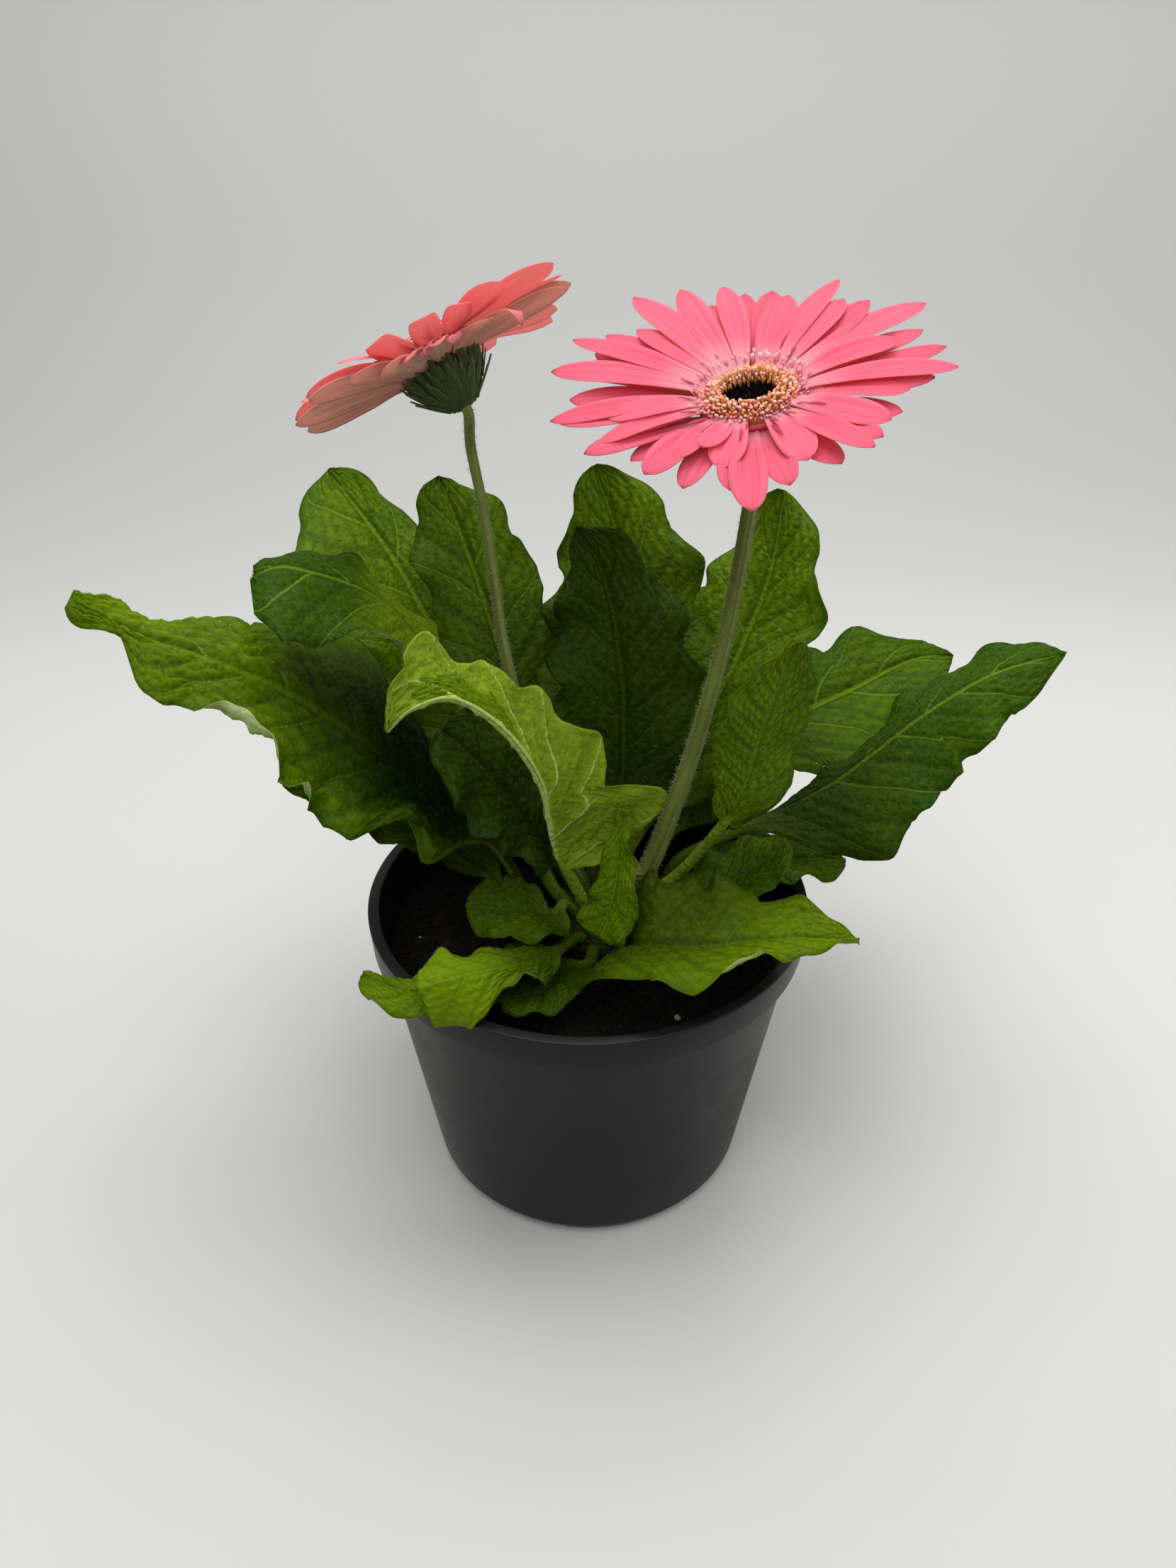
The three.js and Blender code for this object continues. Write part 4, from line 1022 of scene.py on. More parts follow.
# %% The two blooms
# A ray is given by its azimuth round the head, its reach from the head's middle and its rise above the
# head's plane. Some rays also have degrees by which the tip folds back, the arch, and the roll round their
# own length. cupped gives the azimuth towards which all rays of a head raise their nearer edges, and how
# far. starts gives the heights at which the lower and the upper rays leave the head, and the value after
# it how much lighter all its rays are painted, as painted light. root and way are the stem's, as a leaf's
# are, and stem its radius at the foot and at the neck. disc_seat gives the degrees by which the disc is
# tipped back in the head and how far it is raised.
BLOOMS = {
    "bloom_right": {
        "centre": (44, -5, 276.5), "facing": (-0.19, -0.28, 0.94), "root": (10, 62), "stem": (3.2, 2.2),
        "cupped": (0, 0), "starts": (-1, 2.4), "painted_light": 0, "disc_seat": (6, -1.9),
        "way": [(21, 5, 115), (31, 10, 144), (36, 12, 162), (40, 12, 181), (43, 12, 198), (46, 9, 226)],
        "under_rays": [
            (5, 53, 3), (17, 51, 3), (38, 47, 8), (60, 40, 8), (75, 46, 8), (85, 46, 8), (98, 44, 8),
            (111, 46, 8), (136, 52, 8), (141, 53, 4), (152, 58, 4), (165, 51, 3), (178, 52, 3), (197, 48, 3),
            (207, 38, 0), (222, 41, 3), (236, 38, -2), (257, 41, 2), (264, 50, 2), (277, 42, 2),
            (300, 38, -2), (314, 43, 4), (335, 41, 0), (350, 48, 3), (356, 52, 3),
        ],
        "upper_rays": [
            (28, 59, 3), (46, 44, 9), (54, 52, 8), (68, 42, 10), (92, 51, 8), (105, 55, 8), (118, 60, 8),
            (128, 46, 9), (143, 59, 8), (156, 59, 6), (176, 55, 3), (181, 39, 5), (189, 36, 4), (193, 43, 3),
            (226, 32, 4), (238, 28, 9), (251, 32, 3), (288, 35, 3), (308, 44, 4), (324, 41, 4), (343, 42, 4),
            (352, 54, 4), (12, 42, 7),
        ],
    },
    "bloom_left": {
        "centre": (-46, 45, 276), "facing": (-0.5, 0.36, 0.79), "root": (150, 62), "stem": (2.7, 1.6),
        "cupped": (277, 28), "starts": (-3.5, 2), "painted_light": 0.75, "disc_seat": (0, 0),
        "way": [
            (-15, 20, 130), (-22, 30, 156), (-28, 37, 180), (-31, 41, 205), (-34, 44, 230), (-37, 46, 248),
        ],
        "under_rays": [
            (191, 45, 0), (209, 49, 0), (224, 47, 2), (240, 40, 0), (254, 36, -4), (262, 31, -3, 40),
            (271, 27, -2, 130), (282, 30, -4, 40), (293, 29, -5, 130), (308, 36, -8), (322, 42, -9, 100),
            (344, 46, -7), (2, 46, -3), (18, 46, 0), (92, 44, 8), (112, 44, 9), (132, 44, 10), (152, 45, 8),
            (172, 46, 5),
        ],
        "upper_rays": [
            (181, 48, 8), (200, 43, 9, 0, 9, -60), (216, 44, 6), (234, 37, 10, 0, 9, -50),
            (252, 34, 14, 60, -22), (281, 31, 13, 60, -22), (303, 32, 9, 50, -22), (320, 38, 4),
            (335, 49, 0), (356, 45, 0, 0, 9, 30), (20, 44, 4), (34, 46, -2), (53, 57, 0), (72, 46, 4),
            (82, 40, 10), (104, 40, 12), (126, 40, 14), (148, 42, 13), (166, 44, 11),
        ],
    },
}
HUB_RADIUS = 11
RAY_WIDTH = 10
RAY_PLAIN = (0, 0, 0, 0, 9, 0)  # azimuth, reach, rise, tip, arch, roll
RAY_ROWS = 20
RAY_COLUMNS = 12
RAY_THICKNESS = 0.5
RAY_GROOVES = 0.28

# %% One ray
def ray_sheet(ray, cupped, start_height, seed):
    """Top and underside points of one ray in the head's own frame, with its along and across values."""
    azimuth, reach, rise, tip, arch, roll = (*ray, *RAY_PLAIN[len(ray) :])
    t = np.linspace(0, 1, RAY_ROWS + 1)[:, None]
    v = np.linspace(1, -1, RAY_COLUMNS + 1)[None, :]
    arch = math.radians(arch + 3 * scatter(seed, 3))
    run = reach * math.cos(math.radians(rise)) - HUB_RADIUS
    climb = reach * math.sin(math.radians(rise)) - start_height
    length = math.hypot(run, climb) * arch / math.sin(arch)
    lean = math.atan2(climb, run) + arch * (1 - 2 * t) - math.radians(tip) * smooth((t - 0.78) / 0.16)
    out, up = bent(lean[:, 0], length)
    swell = 0.36 + 0.64 * np.sin(math.pi / 2 * np.minimum(t / 0.64, 1)) ** 1.25
    taper = np.maximum(1 - (np.maximum(t - 0.6, 0) / 0.4) ** 2.6, 0) ** 0.62
    slimmer = np.interp(reach, [26, 34, 46], [0.72, 1, 0.9])
    half = np.maximum(RAY_WIDTH / 2 * slimmer * (1 + 0.12 * scatter(seed, 2)) * swell * taper, 0.35)
    sway = 0.9 * scatter(seed, 4) * np.sin(math.pi * t)
    turned_to, by = cupped
    raised = by * math.sin(math.radians(turned_to - azimuth)) + roll
    twist = np.radians(10 * scatter(seed, 5)) * t + math.radians(raised) * smooth(t / 0.4)
    cup = (0.16 + 0.1 * scatter(seed, 6)) * np.sin(math.pi * np.minimum(t * 1.1, 1))
    grooves = RAY_GROOVES * np.cos(3 * math.pi * v) * np.minimum(half / 4, 1) * (1 - t**4)
    width = half * v
    height = half * cup * (v**2 - 0.3) + grooves
    sideways = sway + width * np.cos(twist) - height * np.sin(twist)
    level = width * np.sin(twist) + height * np.cos(twist)
    thick = RAY_THICKNESS * (1 - 0.55 * np.abs(v)) * (1 - 0.5 * t)
    sheets = []
    for high in (level, level - thick):
        x = HUB_RADIUS + out[:, None] - np.sin(lean) * high
        z = start_height + up[:, None] + np.cos(lean) * high
        sheets.append(np.stack([x, sideways, z], -1).reshape(-1, 3))
    turn = math.radians(azimuth)
    spin = np.array([[math.cos(turn), math.sin(turn), 0], [-math.sin(turn), math.cos(turn), 0], [0, 0, 1]])
    return np.vstack(sheets) @ spin, both(t + 0 * v), both(v + 0 * t)


def head_frame(bloom):
    """The turn and place of a head, whose own +Z faces the way that the bloom does."""
    turn = Vector((0, 0, 1)).rotation_difference(Vector(bloom["facing"]).normalized())
    return Matrix.Translation(Vector(bloom["centre"]) * MM) @ turn.to_matrix().to_4x4()


# %% All the rays of a head
def rays_piece(name, bloom):
    points = []
    faces = []
    marks = []
    size = (RAY_ROWS + 1) * (RAY_COLUMNS + 1)
    seed = 100 * len(name)
    for level, rows in enumerate((bloom["under_rays"], bloom["upper_rays"])):
        for ray in rows:
            faces.append(sheet_faces(RAY_ROWS + 1, RAY_COLUMNS + 1, 2 * size * len(points)))
            seed += 1
            start = bloom["starts"][level] + 0.5 * scatter(seed, 8)
            made, along, across = ray_sheet(ray, bloom["cupped"], start, seed)
            points.append(made)
            same = [[value] * (2 * size) for value in (0.5 + 0.5 * scatter(seed, 9), level, bloom["painted_light"])]
            marks.append([along, across, np.repeat([0, 1], size), *same])
    labels = ("along", "across", "under", "tint", "inner", "painted_light")
    attributes = dict(zip(labels, np.concatenate(marks, axis=1)))
    piece = mesh_object(f"{name}_rays_fine", np.vstack(points), np.vstack(faces), attributes, ray_finish)
    piece.data.transform(head_frame(bloom))
    return piece


for name, bloom in BLOOMS.items():
    rays = fit(rays_piece(name, bloom), "rays", f"{name}_rays")
    print(rays.name, len(rays.data.polygons), "faces")

# %% [markdown]
# ## Rings, made by Geometry Nodes
#
# Florets, buds, narrow inner rays and bracts all stand in rings round the head. One Geometry Nodes tree can
# set any of them: it makes the points of a ring from a count and a radius, leans and turns a copy of one
# small mesh at each, varies them with a fixed seed, and makes the copies real.


# %% Growing tree: steps that the geometry trees share
class Grower(Group):
    """A Geometry Nodes tree that turns a geometry and these named inputs into one new geometry."""

    def __init__(self, name, inputs):
        super().__init__(name, "Geometry", {"Geometry": "Geometry", **inputs}, {"Geometry": "Geometry"})

    def drawn(self, low, high, salt):
        """A random number between low and high for each point, from the seed and a salt of its own."""
        own_seed = self.times_plus(self.told["Seed"], 10.0, float(salt))
        return self.node("FunctionNodeRandomValue", {2: low, 3: high, "Seed": own_seed}).outputs[1]

    def jitter(self, salt, spread):
        """A random number from minus to plus the input of this name."""
        return self.times(self.drawn(-1.0, 1.0, salt), self.told[spread])

    def store(self, geometry, name, value, domain="INSTANCE"):
        inputs = {"Geometry": geometry, "Name": name, "Value": value}
        return self.node("GeometryNodeStoreNamedAttribute", inputs, domain=domain).outputs[0]

    def copies(self, points, turn, size):
        """Copies of the item on these points."""
        item = self.node("GeometryNodeObjectInfo", {"Object": self.told["Item"]}).outputs["Geometry"]
        inputs = {"Points": points, "Instance": item, "Rotation": turn, "Scale": size}
        return self.node("GeometryNodeInstanceOnPoints", inputs).outputs[0]

    def end(self, geometry, last_step):
        """Ends the tree with this kind of node and the finish."""
        real = self.node(last_step, {0: geometry}).outputs[0]
        inputs = {"Geometry": real, "Material": self.told["Finish"]}
        self.feed(self.given[0], self.node("GeometryNodeSetMaterial", inputs).outputs[0])


def grown_by(tree, values, name, carrier=None):
    """The plain mesh that a tree makes, on a carrier mesh or on nothing."""
    own = carrier or added("carrier", bpy.data.meshes.new("carrier"))
    modifier = own.modifiers.new("grow", "NODES")
    modifier.node_group = tree.data
    for label, value in values.items():
        modifier[tree.data.interface.items_tree[label].identifier] = value
    graph = bpy.context.evaluated_depsgraph_get()
    grown = own.evaluated_get(graph)
    mesh = bpy.data.meshes.new_from_object(grown, preserve_all_data_layers=True, depsgraph=graph)
    own.modifiers.remove(modifier)
    if own.name.startswith("carrier"):
        bpy.data.objects.remove(own)
    mesh.name = name
    return added(name, mesh)


# %% The ring tree
ring_tree = Grower("ring", {
    "Item": "Object", "Count": "Int", "Radius": "Float", "Radius spread": "Float", "Height": "Float",
    "Lean": "Float", "Lean spread": "Float", "Turn spread": "Float", "Size": "Float", "Size spread": "Float",
    "Outer": "Float", "Back taller": "Float", "Seed": "Float", "Finish": "Material",
})
told = ring_tree.told
points = ring_tree.node("GeometryNodePoints", {"Count": told["Count"]}).outputs[0]
index = ring_tree.node("GeometryNodeInputIndex").outputs[0]
place = ring_tree.calc("ADD", index, ring_tree.jitter(1, "Turn spread"))
angle = ring_tree.times_plus(ring_tree.calc("DIVIDE", place, told["Count"]), 2 * math.pi, told["Seed"])
radius = ring_tree.calc("ADD", told["Radius"], ring_tree.jitter(2, "Radius spread"))
spot = ring_tree.node("ShaderNodeCombineXYZ", {
    "X": ring_tree.times(radius, ring_tree.calc("COSINE", angle)),
    "Y": ring_tree.times(radius, ring_tree.calc("SINE", angle)),
    "Z": told["Height"],
}).outputs[0]
set_out = ring_tree.node("GeometryNodeSetPosition", {"Geometry": points, "Position": spot}).outputs[0]
lean = ring_tree.calc("ADD", told["Lean"], ring_tree.jitter(3, "Lean spread"))
euler = ring_tree.node("ShaderNodeCombineXYZ", {"X": 0.0, "Y": lean, "Z": angle}).outputs[0]
turn = ring_tree.node("FunctionNodeEulerToRotation", {0: euler}).outputs[0]
taller = ring_tree.times(ring_tree.calc("SINE", angle), told["Back taller"])
varied = ring_tree.calc("ADD", ring_tree.jitter(4, "Size spread"), 1.0)
size = ring_tree.times(told["Size"], ring_tree.calc("ADD", varied, taller))
tinted = ring_tree.store(ring_tree.copies(set_out, turn, size), "tint", ring_tree.drawn(0.0, 1.0, 5))
ring_tree.end(ring_tree.store(tinted, "outer", told["Outer"]), "GeometryNodeRealizeInstances")
print("ring tree:", len(ring_tree.data.nodes), "nodes")


# %% Rings as pieces
LEAN_SPREAD = 9  # degrees
TURN_SPREAD = 0.35  # as a share of the step from one copy to the next
SIZE_SPREAD = 0.16


def joined(name, pieces, seat):
    """One object from several, with their meshes joined and set on this seat."""
    with bpy.context.temp_override(active_object=pieces[0], selected_editable_objects=pieces):
        bpy.ops.object.join()
    pieces[0].name = name
    pieces[0].data.name = name
    pieces[0].data.transform(seat)
    return pieces[0]


def rings(material, first_seed, spread, rows):
    """A ring of copies for each row, which gives the values in the order that the lists below do."""
    made = []
    for i, (part, count, radius, height, lean, size, outer, back) in enumerate(rows):
        values = {
            "Item": part, "Count": count, "Radius": radius * MM, "Radius spread": spread * MM,
            "Height": height * MM, "Lean": math.radians(lean), "Lean spread": math.radians(LEAN_SPREAD),
            "Turn spread": TURN_SPREAD, "Size": size, "Size spread": SIZE_SPREAD, "Outer": float(outer),
            "Seed": float(first_seed + i), "Back taller": float(back), "Finish": material,
        }
        made.append(grown_by(ring_tree, values, "ring"))
    return made


# %% [markdown]
# ### The disc and its eye
#
# In the disc each floret opens in turn, from the rim inwards. So its rings stand in that order on a low
# dome: pink tubes with styles, then pale caps between gold buds. Each kind is one small turned part, bent
# a little, that the ring tree repeats. The closed florets of the eye lie a little lower, on a bed of their
# own.

# %% The small parts of the disc, from foot to tip
PART_PROFILES = {
    # radius and height pairs, sides, bend
    "tube": ([(0.3, 0), (0.26, 2.6), (0.28, 3.7), (0.46, 4.4), (0.38, 4.8), (0.14, 5)], 6, 0.5),
    "style": ([(0.13, 0), (0.12, 3.8), (0.11, 4.9), (0.25, 5.3), (0.22, 5.7), (0.08, 5.9)], 5, 0.8),
    "bud": ([(0.26, 0), (0.32, 1.2), (0.43, 2.2), (0.45, 2.8), (0.35, 3.3), (0.15, 3.6)], 6, 0.3),
    "cap": ([(0.2, 0), (0.22, 1.7), (0.46, 2.5), (0.53, 2.9), (0.38, 3.2), (0.12, 3.15)], 7, 0.45),
}
tube, style, bud, cap = (
    turned_part(name, profile, sides, floret_finish, bend)
    for name, (profile, sides, bend) in PART_PROFILES.items()
)
closed = turned_part("closed", [(0.3, 0), (0.34, 0.7), (0.32, 1.3), (0.2, 1.8), (0.07, 2.1)], 5, eye_finish)

# %% The disc: rings of tubes and styles outside, caps and gold anthers inside
# Each row is: part, count, radius, height, lean, size, outer, and how much taller the ring is at the back.
DISC_RINGS = [
    (tube, 44, 13.2, 1.8, 30, 0.95, 1, 0.4),
    (style, 40, 12.8, 2, 22, 0.95, 1, 0.4),
    (tube, 44, 12.4, 2.2, 22, 0.95, 1, 0.35),
    (style, 38, 11.8, 2.6, 16, 0.92, 1, 0.3),
    (cap, 64, 12.4, 2.2, 32, 0.92, 0.5, 0.15),
    (cap, 60, 11.7, 2.7, 27, 0.92, 0.5, 0.1),
    (bud, 44, 11.2, 3, 26, 0.9, 0, 0),
    (cap, 56, 10.7, 3.3, 22, 0.95, 0.5, 0),
    (bud, 44, 10.1, 3.6, 18, 0.9, 0, 0),
    (cap, 52, 9.6, 3.8, 14, 0.95, 0.5, 0),
    (bud, 44, 9.2, 4.1, 11, 0.9, 0, 0),
    (cap, 46, 8.8, 4.2, 6, 0.95, 0.5, 0),
    (bud, 42, 8.5, 4, 1, 0.9, 0, 0),
    (cap, 40, 8.2, 3.3, -3, 0.9, 0.5, 0),
    (bud, 40, 8, 2.3, -6, 0.85, 0, 0),
]
DOME = [(12, 0), (12.8, 1.4), (12.2, 2.4), (10, 3.9), (8.8, 4.2), (8.1, 3.2), (7.8, 1.6), (0.3, 1.6)]
EYE_HEIGHT = 2.6
EYE_SIZE = 0.95
EYE_BED = [(7.9, 2.8), (7.8, 3.1), (0.3, 3.2)]
EYE_COUNTS = [
    # count, radius, lean
    (40, 7.5, 6), (37, 6.8, 6), (32, 6, 6), (27, 5.3, 5), (23, 4.6, 4), (19, 3.8, 3), (15, 3, 2),
    (11, 2.2, 0), (7, 1.4, 0), (4, 0.6, 0),
]
EYE_RINGS = [(closed, count, radius, EYE_HEIGHT, lean, EYE_SIZE, 0, 0) for count, radius, lean in EYE_COUNTS]

for name, bloom in BLOOMS.items():
    tip_back, raised = bloom["disc_seat"]
    seat = head_frame(bloom) @ Matrix.Rotation(math.radians(-tip_back), 4, "X")
    seat = seat @ Matrix.Translation((0, 0, raised * MM))
    florets = rings(floret_finish, 1, 0.6, DISC_RINGS)
    dome = turned_part("dome", DOME, 40, floret_finish)
    disc = fit(joined(f"{name}_disc_fine", [*florets, dome], seat), "disc_florets", f"{name}_disc")
    bed = turned_part("eye_bed", EYE_BED, 40, eye_finish)
    florets = rings(eye_finish, 20, 0.15, EYE_RINGS)
    eye = fit(joined(f"{name}_eye_fine", [bed, *florets], seat), "disc_eye", f"{name}_eye")
    print(name, "disc", len(disc.data.polygons), "eye", len(eye.data.polygons))


# %% [markdown]
# ### Inner rays and bracts
#
# Between rays and disc stand short narrow rays, and underneath green bracts lie over each other like
# tiles. Both are pointed straps that come in rings, so the ring tree repeats one strap of each kind. What
# they grow from is closed: a pink collar above and a green cup below.

# %% Narrow inner rays and bracts, as small sheets that the same tree repeats
STRAP_THICKNESS = 0.35
NARROWEST_HALF = 0.12


def strap(name, length, width, curve, material, rows=8, columns=4, keel=0.0):
    """A pointed strap that stands on +Z and curves outwards by some degrees, its face towards the middle."""
    t = np.linspace(0, 1, rows + 1)[:, None]
    v = np.linspace(-1, 1, columns + 1)[None, :]
    lean = np.radians(curve * t)
    up, out = bent(lean[:, 0], length)
    half = width / 2 * (0.55 + 0.45 * np.sin(math.pi * np.minimum(1.3 * t, 1)))
    half = np.maximum(half * np.sqrt(np.maximum(1 - t**4, 0)), NARROWEST_HALF)
    sheets = []
    for drop in (0, STRAP_THICKNESS):
        depth = keel * (1 - v**2) + drop
        local = [out[:, None] + np.cos(lean) * depth, half * v, up[:, None] - np.sin(lean) * depth]
        sheets.append(np.stack(local, -1).reshape(-1, 3))
    under = np.repeat([0, 1], len(sheets[0]))
    marks = {"along": both(t + 0 * v), "across": both(v + 0 * t), "under": under}
    faces = sheet_faces(rows + 1, columns + 1)[:, ::-1]
    return mesh_object(name, np.vstack(sheets), faces, marks, material)


# The last two values of each row say that the bracts stay dark and no ring is taller at the back.
inner_ray = strap("inner_ray", 11, 1.5, 26, ray_finish)
INNER_RINGS = [(inner_ray, 17, 13, 1.6, 54, 0.7, 1, 0), (inner_ray, 11, 13.4, 1.6, 64, 0.95, 1, 0)]
one_bract = strap("one_bract", 15, 4.2, -6, bract_finish, 10, 6, 0.5)
BRACT_RINGS = [
    (one_bract, 13, 5, -15.8, 50, 0.6, 0, 0),
    (one_bract, 16, 7.2, -13.8, 42, 0.62, 0, 0),
    (one_bract, 20, 9.2, -11.2, 36, 0.58, 0, 0),
    (one_bract, 24, 11, -8.6, 32, 0.5, 0, 0),
]
CUP = [(2.4, -0.2), (5, 1), (7.6, 3.4), (9.8, 6.4), (11.6, 9.6), (12.2, 12.2), (11.4, 14), (0.3, 15)]
CUP_SUNK = 17
# The collar is the pink feet of the rays, grown together. Its top stays below the eye's bed.
COLLAR = [(10.6, 0), (13, 1.8), (14.6, 3.8), (14.2, 4.7), (11, 2.6)]
COLLAR_SUNK = 2.9

for name, bloom in BLOOMS.items():
    collar = turned_part("collar", COLLAR, 48, ray_finish, sunk=COLLAR_SUNK)
    narrow = rings(ray_finish, 40, 0.6, INNER_RINGS)
    fit(joined(f"{name}_inner_rays", [collar, *narrow], head_frame(bloom)), "rays")
    cup = turned_part("cup", CUP, 40, bract_finish, sunk=CUP_SUNK)
    bracts = rings(bract_finish, 60, 0.2, BRACT_RINGS)
    fit(joined(f"{name}_bracts_fine", [cup, *bracts], head_frame(bloom)), "bracts", f"{name}_bracts")

for part in (tube, style, bud, cap, closed, inner_ray, one_bract):
    bpy.data.objects.remove(part)

# %% [markdown]
# ## Stems
#
# A gerbera's flower stem has no leaves. It is ribbed, tapers upwards, and stands out pale with down. It
# follows a path, so Geometry Nodes sweep a ribbed ring along it, wider at the foot. A second tree then
# scatters short hairs over it, which catch the light at its edges.

# %% The sweep tree
STEM_SIDES = 54
SLIM_AT = 0.77  # the share of a stem's length at which it has the radius of its neck

stem_tree = Grower("stem", {
    "Foot radius": "Float", "Neck radius": "Float", "Ribs": "Float", "Rib depth": "Float",
    "Finish": "Material",
})
told = stem_tree.told
path = stem_tree.node("GeometryNodeMeshToCurve", {0: told["Geometry"]}).outputs[0]
share = stem_tree.node("GeometryNodeSplineParameter").outputs["Factor"]
radii = {"To Min": told["Foot radius"], "To Max": told["Neck radius"]}
slimming = {"Value": share, "From Max": SLIM_AT, **radii}
slim = stem_tree.node("ShaderNodeMapRange", slimming, interpolation_type="SMOOTHSTEP").outputs[0]
circle = stem_tree.node("GeometryNodeCurvePrimitiveCircle", {"Resolution": STEM_SIDES, "Radius": 1.0})
turn = stem_tree.node("GeometryNodeSplineParameter").outputs["Factor"]
wave = stem_tree.calc("SINE", stem_tree.times(stem_tree.times(turn, 2 * math.pi), told["Ribs"]))
ribbed = stem_tree.times_plus(wave, told["Rib depth"], 1.0)
spot = stem_tree.node("GeometryNodeInputPosition").outputs[0]
wider = stem_tree.node("ShaderNodeVectorMath", {0: spot, "Scale": ribbed}, operation="SCALE").outputs[0]
loop = stem_tree.store(circle.outputs[0], "across", turn, "POINT")
ribbed_loop = stem_tree.node("GeometryNodeSetPosition", {"Geometry": loop, "Position": wider}).outputs[0]
curve = stem_tree.store(path, "along", share, "POINT")
sweeping = {"Curve": curve, "Profile Curve": ribbed_loop, "Scale": slim, "Fill Caps": True}
swept = stem_tree.node("GeometryNodeCurveToMesh", sweeping)
stem_tree.end(swept.outputs[0], "GeometryNodeSetShadeSmooth")
print("stem tree:", len(stem_tree.data.nodes), "nodes")

# %% The scatter tree, for hairs, crumbs and grains
strew_tree = Grower("strew", {
    "Item": "Object", "Per square metre": "Float", "Smallest": "Float", "Largest": "Float",
    "Tumble": "Float", "Seed": "Int", "Finish": "Material",
})
told = strew_tree.told
on_faces = {"Mesh": told["Geometry"], "Density": told["Per square metre"], "Seed": told["Seed"]}
spread = strew_tree.node("GeometryNodeDistributePointsOnFaces", on_faces)
size = strew_tree.drawn(told["Smallest"], told["Largest"], 1)
tumbles = [strew_tree.jitter(salt, "Tumble") for salt in (2, 3, 4)]
euler = strew_tree.node("ShaderNodeCombineXYZ", dict(enumerate(tumbles))).outputs[0]
tumbled = strew_tree.node("FunctionNodeEulerToRotation", {0: euler}).outputs[0]
turns = {"Rotation": spread.outputs["Rotation"], "Rotate By": tumbled}
facing = strew_tree.node("FunctionNodeRotateRotation", turns, rotation_space="LOCAL").outputs[0]
copies = strew_tree.copies(spread.outputs["Points"], facing, size)
tinted = strew_tree.store(copies, "tint", strew_tree.drawn(0.0, 1.0, 7))
strew_tree.end(tinted, "GeometryNodeRealizeInstances")


def strew(name, carrier, item, density, sizes, tumble, seed, material):
    values = {
        "Item": item, "Per square metre": float(density), "Smallest": sizes[0], "Largest": sizes[1],
        "Tumble": tumble, "Seed": seed, "Finish": material,
    }
    return grown_by(strew_tree, values, name, carrier)


# %% Grow the stems and their down
STEM_ROWS = 90
RIBS = 9.0
RIB_DEPTH = 0.06
NECK = -16.4  # where a stem meets the cup, below the head's middle
INTO_CUP = 1.2
STRAIGHT_NECK = 4
STEM_HAIRS = 900000  # per square metre
CROWN_HAIRS = 400000
hair_part = turned_part("hair_part", [(0.05, 0), (0.035, 0.6), (0.012, 1.2)], 3, hair_finish)

for name, bloom in BLOOMS.items():
    facing = np.array(bloom["facing"]) / np.linalg.norm(bloom["facing"])
    root = heading(*bloom["root"])
    start = CROWN_CENTRE + root * (CROWN_RADIUS + 0.3)
    end = np.array(bloom["centre"]) + facing * (NECK + INTO_CUP)
    way = [start, start + root * ROOT_RUN, *bloom["way"], end - STRAIGHT_NECK * facing, end]
    line, _, length = walk(way, np.linspace(0, 1, STEM_ROWS + 1))
    line[0] -= root * ROOT_SUNK
    wire = bpy.data.meshes.new("carrier")
    wire.from_pydata((line * MM).tolist(), [(i, i + 1) for i in range(STEM_ROWS)], [])
    foot, neck = bloom["stem"]
    values = {
        "Foot radius": foot * MM, "Neck radius": neck * MM, "Ribs": RIBS, "Rib depth": RIB_DEPTH,
        "Finish": stem_finish,
    }
    stem = grown_by(stem_tree, values, f"{name}_stem_fine", added("carrier", wire))
    fit(stem, "flower_stem", f"{name}_stem")
    fuzz = strew(f"{name}_stem_down", stem, hair_part, STEM_HAIRS, (0.5, 1.2), 0.5, 5, hair_finish)
    fit(fuzz, "flower_stem")
    print(stem.name, round(length), "mm,", len(fuzz.data.polygons), "hair faces")

# %% [markdown]
# ## Crown, soil and pot
#
# The soil is peat: a lumpy surface with crumbs and fibres lying on it and a few pale grains between them.
# Its lumps are displaced by noise, and the scatter tree lays the loose pieces on top. The pot is turned on
# an axis from its profile, with the water gaps of its foot cut out by Booleans.


# %% The crown, lumpy with old leaf bases
CROWN_RINGS = 26
CROWN_SIDES = 48
OLD_BASES = 0.8  # how far old leaf bases stand out


def lump(point, scale, depth, octaves=3):
    """Fractal noise at a point in millimetres."""
    return depth * noise.fractal(Vector(point) * scale, 1.0, 2.0, octaves)


def first_and_last(points, sides):
    """The faces that close the first and the last ring of a shape whose rings run downwards."""
    return [tuple(range(sides)), tuple(range(len(points) - sides, len(points)))[::-1]]


crown_points = []
for i in range(CROWN_RINGS + 1):
    polar = math.pi * (0.02 + 0.96 * i / CROWN_RINGS)
    for azimuth in around(CROWN_SIDES):
        out = np.array([
            math.sin(polar) * math.cos(azimuth), math.sin(polar) * math.sin(azimuth), math.cos(polar),
        ])
        scales = OLD_BASES * abs(math.sin(6 * azimuth + 5 * polar))
        crown_points.append(CROWN_CENTRE + out * (CROWN_RADIUS - 0.6 + scales + lump(out * 20, 0.2, 1.0)))
crown_faces = ring_faces(CROWN_RINGS + 1, CROWN_SIDES, downwards=True)
crown_faces += first_and_last(crown_points, CROWN_SIDES)
crown = fit(mesh_object("crown_fine", crown_points, crown_faces, {}, crown_finish), "crown", "crown")
wool = fit(strew("crown_wool", crown, hair_part, CROWN_HAIRS, (1.0, 2.2), 0.9, 8, crown_finish), "crown")
print("crown", len(crown.data.polygons), "faces,", len(wool.data.polygons), "wool faces")
bpy.data.objects.remove(hair_part)

